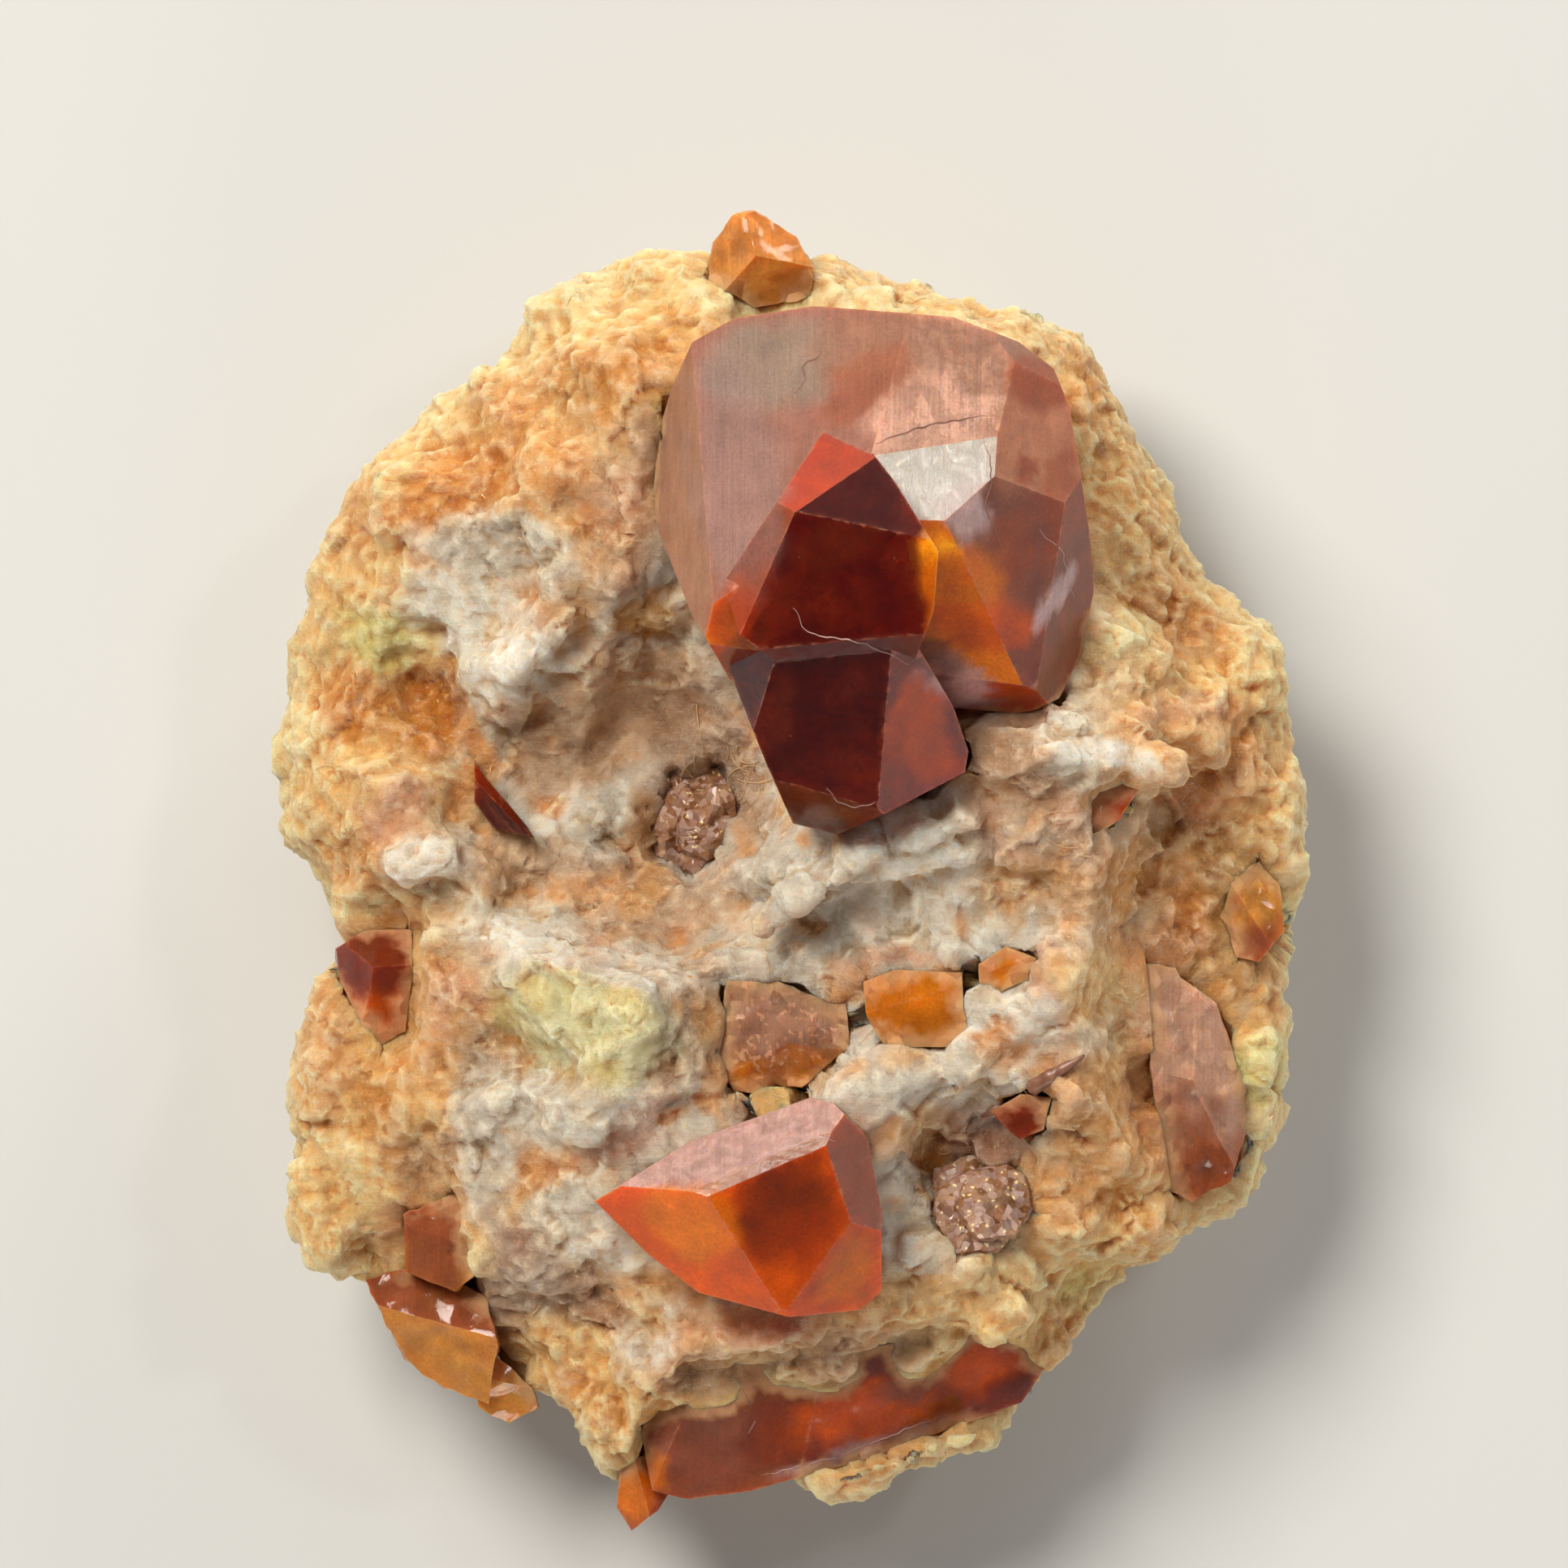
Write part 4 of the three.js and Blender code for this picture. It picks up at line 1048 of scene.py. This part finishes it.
def rockFilm(points, tree, reach):
    # How much of a thin ragged film of rock lies on each point of a crystal
    film = np.zeros(len(points))
    ragged = 0.6 * wander(points, 1.1, 34) + 0.7 * wander(points, 0.4, 35)
    for i, point in enumerate(points):
        nearest, _, _, distance = tree.find_nearest(Vector(point), reach * 2)
        if nearest is not None:
            film[i] = 1 - distance / (reach * max(0.3, 1 + ragged[i]))
    return np.clip(film * 1.6, 0, 1)


def markEdges(work):
    # Keeps the crystal's edges crisp, and gives one on every vertex along them
    edge = np.zeros(len(work.verts))
    work.verts.index_update()
    for line in work.edges:
        if len(line.link_faces) == 2 and line.calc_face_angle(0) > math.radians(9):
            line.smooth = False
            for vertex in line.verts:
                edge[vertex.index] = 1
    for face in work.faces:
        face.smooth = True
    return edge


def buildCrystal(name, tree):
    work = mergedCopy(name)
    cutFine(work, garnet["step"])
    edge = markEdges(work)
    mesh = meshFrom(work, name)
    paint(mesh, "edge", edge)
    points, facing = cornerPlaces(mesh)
    crushed = crystalLooks[name][3] if name in crystalLooks else 0
    if name in painting:
        painted = facePaint(*painting[name], points, facing)
    else:
        painted = twoTone(crystalLooks[name], points, facing)
    paintFaces(mesh, *painted)
    points = positions(mesh)
    paint(mesh, "crushed", np.full(len(points), min(1, crushed * 7)))
    if crushed:
        rough = wander(points, 1.3, 30) + 0.5 * wander(points, 0.5, 31) + broken(points, 0.9, 32)
        low, high = (np.array(corner) / mm for corner in cadBounds)
        points = points + normals(mesh) * (rough * crushed)[:, None]
        points = np.clip(points, low, high)
        move(mesh, points)
    reach = garnet["film"] if name in painting else garnet["smallFilm"]
    paint(mesh, "film", rockFilm(points, tree, reach))
    mesh.materials.append(garnetSurface)
    piece = linked(name.replace("garnet", "crystal"), mesh)
    belongs(piece, crystalSlots.get(name, "orange_garnet"), name)
    print(name, len(mesh.polygons))
    return piece


def garnetMaterial():
    made, graph = newMaterial("garnetSurface")
    tint = graph.painted("tint", "Color")
    veil = graph.painted("veil")
    silver = graph.painted("silver")
    edge = graph.painted("edge")
    crushed = graph.painted("crushed")
    film = (graph.painted("film") + graph.cloud(0.35, 4, 0.7) * 0.7 - 0.5).clipped()
    flaws = graph.cloud(1.1, 6, 0.62)
    wisps = graph.cloud(2.4, 5, 0.6)
    streaks = graph.cloud(0.45, 5, 0.7, (4.5, 0.2, 0.2))
    fine = graph.cloud(0.12, 4, 0.8)
    mixed = graph.tint((wisps - 0.45) * 1.6, tint, (*linear("flame"), 1))
    deepened = graph.tint(veil + 0.2, mixed, tint)
    dust = (0.055 - graph.cells(0.75)) * 14
    shade = 1 + (fine - 0.5) * 0.9 + (streaks - 0.5) * veil * 0.9
    even = graph.node("ShaderNodeCombineColor", {0: shade, 1: shade, 2: shade})
    textured = graph.tint(1.0, deepened, even, "MULTIPLY")
    dusty = graph.tint(dust, textured, (*linear("skin"), 1))
    # Broken spots along the edges are paled towards edgeGlow: partly chipped edges, partly painted
    # highlight; less on crushed crystals
    chipped = (edge**5) * (graph.cloud(0.3, 3, 0.7) - 0.42) * 3.0 * (1 - crushed)
    chipsAndEdgeHighlights = graph.tint(chipped, dusty, (*linear("edgeGlow"), 1))
    # On the crushed crystal the palest small cells turn blush: painted glints on its grains
    splinter = graph.node("ShaderNodeSeparateColor", {0: graph.cells(0.13, "Color")})
    glinting = graph.tint(splinter.above(0.86), chipsAndEdgeHighlights, (*linear("blush"), 1))
    shattered = graph.tint(((crushed - 0.98) * 60).clipped() * 0.8, chipsAndEdgeHighlights, glinting)
    paled = graph.tint(film * 0.8, shattered, (*linear("filmTint"), 1))
    brightness = graph.node("ShaderNodeSeparateColor", {0: paled})
    crinkled = ((brightness - 0.4) * 4 - silver * 2).clipped()
    rough = flaws * 0.4 + streaks * 0.6 + fine * 0.5
    rough = rough + graph.facets(0.55) * (crushed * 4.0 + crinkled * 6.0) + graph.facets(0.3) * film
    satin = graph.node(
        "ShaderNodeBump", {"Strength": 0.8, "Distance": 0.14 * mm, "Height": rough}
    )
    relief = flaws * 0.35 + graph.facets(0.55) * crushed * 1.0
    bump = graph.node(
        "ShaderNodeBump", {"Strength": 0.4, "Distance": 0.12 * mm, "Height": relief}
    )
    clear = graph.node(
        "ShaderNodeBsdfPrincipled",
        {
            "Base Color": (1, 0.9, 0.84, 1),
            "Roughness": 0.03 + flaws * 0.08,
            "Normal": bump,
            "IOR": garnet["ior"],
            "Transmission Weight": 1.0,
        },
    )
    glow = graph.node(
        "ShaderNodeBsdfPrincipled",
        {
            "Base Color": paled,
            "Roughness": 0.05 + flaws * 0.1,
            "Normal": bump,
            "IOR": 1.45,
            "Subsurface Weight": 1.0,
            "Subsurface Radius": (1.0, 0.3, 0.1),
            "Subsurface Scale": 1.6 * mm,
        },
    )
    skin = graph.node(
        "ShaderNodeBsdfPrincipled",
        {
            "Base Color": paled,
            "Roughness": 0.4 + flaws * 0.2,
            "Metallic": silver,
            "Normal": satin,
            "IOR": 1.28,
            "Subsurface Weight": 0.6,
            "Subsurface Radius": (1.0, 0.3, 0.1),
            "Subsurface Scale": 0.8 * mm,
        },
    )
    inside = graph.node(
        "ShaderNodeMixShader", {0: 0.42 + brightness * 0.6 + (flaws - 0.5) * 0.5, 1: clear, 2: glow}
    )
    share = veil * 0.9 + (flaws - 0.5) * 0.3 + film
    surface = graph.node("ShaderNodeMixShader", {0: share, 1: inside, 2: skin})
    depth = graph.node(
        "ShaderNodeVolumeAbsorption",
        {"Color": (*linear(garnet["absorbed"]), 1), "Density": garnet["density"]},
    )
    graph.node("ShaderNodeOutputMaterial", {"Surface": surface, "Volume": depth})
    return made


mica = {"swell": 0.45, "crumple": 0.25}


def buildMica(name):
    work = mergedCopy(name)
    cutFine(work, 0.3)
    mesh = meshFrom(work, name)
    points = positions(mesh)
    relief = mica["swell"] + wander(points, 0.6, 33) * mica["crumple"]
    move(mesh, points + normals(mesh) * relief[:, None])
    mesh.materials.append(micaSurface)
    piece = linked(name + "_flakes", mesh)
    belongs(piece, "mica", name)


def micaMaterial():
    made, graph = newMaterial("micaSurface")
    flakes = graph.cells(0.24, "Color")
    grey = graph.node("ShaderNodeSeparateColor", {0: flakes})
    mixed = graph.tint(grey, (*linear("umber"), 1), (*linear("greyMauve"), 1))
    mixed = graph.tint((graph.cloud(0.5, 4, 0.8) - 0.42) * 3, mixed, (*linear("beige"), 1))
    # The palest flakes, in rare small cells, are painted glints
    glints = graph.node("ShaderNodeSeparateColor", {0: graph.cells(0.1, "Color")})
    mixed = graph.tint(glints.above(0.97), mixed, (*linear("paleCream"), 1))
    tilt = graph.facets(0.24)
    bump = graph.node("ShaderNodeBump", {"Strength": 1.0, "Distance": 0.3 * mm, "Height": tilt})
    surface = graph.node(
        "ShaderNodeBsdfPrincipled",
        {"Base Color": mixed, "Roughness": 0.12 + grey * 0.5, "Normal": bump, "IOR": 1.6},
    )
    graph.node("ShaderNodeOutputMaterial", {"Surface": surface})
    return made


# Fine lines on the crystals: colour, half width, and the points that they run through, seen from
# the front. Growth steps and chipped edges are pale, cracks are dark.
lines = {
    "growthStep": ("lilac", 0.025, [(0.1, 8.9), (0.4, 8.3), (0.9, 7.95), (2.6, 7.7), (4.0, 7.0)]),
    "lowArc": ("lilac", 0.02, [(1.2, 2.9), (1.6, 2.4), (2.2, 2.2), (2.9, 2.4)]),
    "crack": ("darkBrown", 0.05, [(0.2, 16.1), (0.5, 16.6), (0.4, 17.0), (0.8, 17.3), (1.1, 17.6)]),
    "silverEdge": ("darkBrown", 0.04, [(2.8, 14.4), (4.1, 14.9), (5.0, 15.1), (6.6, 15.4)]),
    "rightCrack": ("darkBrown", 0.03, [(6.5, 14.6), (6.8, 13.6), (6.6, 12.2), (7.2, 10.8)]),
    "rightChip": ("lilac", 0.02, [(8.4, 11.6), (9.2, 10.8), (9.6, 9.2)]),
    "lowerRidge": ("lilac", 0.04, [(-1.8, -9.9), (-0.4, -9.4), (0.8, -8.9), (1.6, -9.0)]),
    "plateCrack": ("darkBrown", 0.04, [(-1.6, -17.6), (-1.2, -18.6), (-1.6, -19.8)]),
    "plateEdge": ("lilac", 0.03, [(-1.0, -20.6), (2.0, -19.8), (5.0, -18.6)]),
}

# Nests of lint: place, reach and how many hairs; each hair is about this long and wide.
lint = {"length": 1.5, "width": 0.016, "steps": 9}
lintNests = [
    (-1.6, 3.6, 1.4, 16),
    (-3.6, 3.2, 1.2, 10),
    (0.4, -5.0, 2.0, 12),
    (11.6, -4.6, 1.2, 8),
    (-14.8, 1.6, 1.4, 6),
    (9.8, 1.0, 1.6, 6),
    (5.6, -9.6, 1.8, 8),
    (-9.8, -14.4, 1.4, 5),
    (4.2, 19.4, 1.0, 3),
]

# A dark blade of mica stands in a crevice of the rock.
blade = {"ends": ((6.5, -8.3), (10.1, -6.1)), "wide": 0.3, "deep": 0.12, "steps": 26}


def onSurface(tree, places, lift):
    # The points where these places, seen from the front, lie on a surface
    found = []
    for x, y in places:
        point = tree.ray_cast(Vector((x, y, 40)), Vector((0, 0, -1)))[0]
        if point is not None:
            found.append(point + Vector((0, 0, lift)))
    return found


def between(places, step):
    # The same line with points every step, strayed a little sideways
    dense = []
    for (x, y), (nextX, nextY) in zip(places, places[1:]):
        count = max(1, round(math.dist((x, y), (nextX, nextY)) / step))
        for i in range(count):
            share = i / count
            dense.append((x + (nextX - x) * share, y + (nextY - y) * share))
    dense.append(places[-1])
    strayed = []
    for x, y in dense:
        stray = noise.noise_vector(Vector((x, y, 0)) / 0.35) * 0.09
        strayed.append((x + stray.x, y + stray.y))
    return strayed


def addTube(work, points, wide, deep, taper=0.2):
    # A thin flattened strip of five sides along the points, narrower at its ends
    rings = []
    for i, point in enumerate(points):
        along = (points[min(i + 1, len(points) - 1)] - points[max(i - 1, 0)]).normalized()
        side = along.cross(Vector((0, 0, 1))).normalized()
        up = side.cross(along)
        full = math.sin(math.pi * (i + 0.5) / len(points))
        size = taper + (1 - taper) * full
        size *= 1 + 0.5 * noise.noise(point * 3)
        ring = []
        for corner in range(5):
            angle = 2 * math.pi * corner / 5
            reach = side * (math.cos(angle) * wide) + up * (math.sin(angle) * deep)
            ring.append(work.verts.new((point + reach * size) * mm))
        rings.append(ring)
    for first, second in zip(rings, rings[1:]):
        for corner in range(5):
            after = (corner + 1) % 5
            work.faces.new((first[corner], first[after], second[after], second[corner]))
    work.faces.new(list(reversed(rings[0])))
    work.faces.new(rings[-1])


def lineMaterial(name, colour, rough):
    made, graph = newMaterial(name)
    mottle = graph.cloud(0.3, 3)
    mixed = graph.tint(mottle, (*linear(colour), 1), (*linear("skin"), 1))
    bump = graph.node(
        "ShaderNodeBump", {"Strength": 0.4, "Distance": 0.03 * mm, "Height": mottle}
    )
    surface = graph.node(
        "ShaderNodeBsdfPrincipled",
        {"Base Color": mixed, "Roughness": rough + mottle * 0.2, "Normal": bump},
    )
    graph.node("ShaderNodeOutputMaterial", {"Surface": surface})
    return made


def stripPiece(name, work, material, slotName):
    bmesh.ops.recalc_face_normals(work, faces=work.faces)
    mesh = meshFrom(work, name)
    for face in mesh.polygons:
        face.use_smooth = True
    low, high = (np.array(corner) / mm for corner in cadBounds)
    move(mesh, np.clip(positions(mesh), low, high))
    mesh.materials.append(material)
    belongs(linked(name, mesh), slotName)


def buildLines():
    tree = surfaceTree(["garnet_main", "garnet_lower", "garnet_base_plate"])
    shades = {"pale": bmesh.new(), "dark": bmesh.new()}
    for colour, width, places in lines.values():
        points = onSurface(tree, between(places, 0.12), 0)
        work = shades["dark" if colour == "darkBrown" else "pale"]
        addTube(work, points, width, width * 0.5)
    steps = lineMaterial("stepSurface", "lilac", 0.25)
    cracks = lineMaterial("crackSurface", "darkBrown", 0.4)
    stripPiece("crystal_steps", shades["pale"], steps, "red_garnet")
    stripPiece("crystal_cracks", shades["dark"], cracks, "red_garnet")


def buildLint(tree):
    work = bmesh.new()
    chance = random.Random(5)
    for x, y, reach, many in lintNests:
        for _ in range(many):
            place = Vector((x + chance.gauss(0, reach / 2), y + chance.gauss(0, reach / 2)))
            bearing = chance.uniform(0, 2 * math.pi)
            bend = chance.uniform(-0.35, 0.35)
            step = lint["length"] * chance.uniform(0.4, 1.2) / lint["steps"]
            places = []
            for _ in range(lint["steps"]):
                places.append((place.x, place.y))
                place = place + Vector((math.cos(bearing), math.sin(bearing))) * step
                bearing += bend
            points = onSurface(tree, places, 0.05)
            if len(points) == lint["steps"]:
                addTube(work, points, lint["width"], lint["width"], 0.6)
    stripPiece("lint", work, lineMaterial("lintSurface", "paleCream", 0.5), "mica")


def buildBlade(tree):
    (x, y), (endX, endY) = blade["ends"]
    steps = blade["steps"]
    places = [(x + (endX - x) * i / steps, y + (endY - y) * i / steps) for i in range(steps)]
    work = bmesh.new()
    addTube(work, onSurface(tree, places, 0.06), blade["wide"], blade["deep"], 0.15)
    stripPiece("mica_blade", work, lineMaterial("bladeSurface", "darkBrown", 0.25), "mica")


stage = {
    "floor": (204, 204, 202),
    "horizon": 1.0,
    "zenith": 0.08,
    "size": 4000,
}

# Soft lights: name, tilt from overhead, bearing, distance, width, watts and colour.
lights = [
    ("top", 40, 130, 900, 420, 9.5, (255, 250, 240)),
    ("rim", 74, 62, 900, 300, 3.2, (255, 252, 246)),
    ("silver", 38, 36, 700, 80, 0.36, (255, 255, 255)),
    ("fill", 76, -80, 900, 400, 2.4, (255, 246, 236)),
]


def buildStage():
    mesh = bpy.data.meshes.new("floor")
    half = stage["size"] / 2 * mm
    corners = [(-half, -half, 0), (half, -half, 0), (half, half, 0), (-half, half, 0)]
    mesh.from_pydata(corners, [], [(0, 1, 2, 3)])
    made, graph = newMaterial("floorSurface")
    surface = graph.node(
        "ShaderNodeBsdfPrincipled",
        {"Base Color": (*linear(stage["floor"]), 1), "Roughness": 0.7},
    )
    graph.node("ShaderNodeOutputMaterial", {"Surface": surface})
    mesh.materials.append(made)
    linked("floor", mesh)


def buildLights():
    for name, tilt, bearing, distance, width, watts, colour in lights:
        lamp = bpy.data.lights.new(name, "AREA")
        lamp.shape = "DISK"
        lamp.size = width * mm
        lamp.energy = watts
        lamp.color = linear(colour)
        way = leaning(tilt, bearing)
        holder = bpy.data.objects.new(name, lamp)
        holder.location = way * distance * mm
        holder.rotation_euler = way.to_track_quat("Z", "Y").to_euler()
        bpy.context.scene.collection.objects.link(holder)
    world = bpy.data.worlds.new("studio")
    bpy.context.scene.world = world
    world.use_nodes = True
    graph = Graph(world.node_tree)
    ways = graph.node("ShaderNodeTexCoord", output="Generated")
    height = graph.node("ShaderNodeSeparateXYZ", {0: ways}, "Z")
    low = 1 - height
    glow = stage["zenith"] + low * low * (stage["horizon"] - stage["zenith"])
    even = graph.node("ShaderNodeCombineColor", {0: glow, 1: glow, 2: glow})
    surface = graph.node("ShaderNodeBackground", {"Color": even, "Strength": 1.0})
    graph.node("ShaderNodeOutputWorld", {"Surface": surface})


def setColours():
    settings = bpy.context.scene.view_settings
    settings.view_transform = "Standard"
    settings.look = "None"


def buildCamera():
    lens = bpy.data.cameras.new("camera")
    lens.sensor_width = view["sensor"]
    lens.lens = view["sensor"] * (view["distance"] - 10) / view["width"]
    lens.clip_start = 0.01
    lens.clip_end = 10
    holder = bpy.data.objects.new("camera", lens)
    x, y = view["aim"]
    holder.location = Vector((x, y, view["distance"])) * mm
    bpy.context.scene.collection.objects.link(holder)
    bpy.context.scene.camera = holder


buildStage()
buildLights()
buildCamera()
setColours()
print("stage")
rockSurface = rockMaterial()
body = buildRock()
buildCrusts(body)
rockTree = pieceTree(body)
garnetSurface = garnetMaterial()
for crystal in ("garnet_main", *crystalLooks):
    buildCrystal(crystal, rockTree)
micaSurface = micaMaterial()
for book in ("mica_bowl", "mica_low_right"):
    buildMica(book)
buildLines()
buildLint(rockTree)
buildBlade(rockTree)
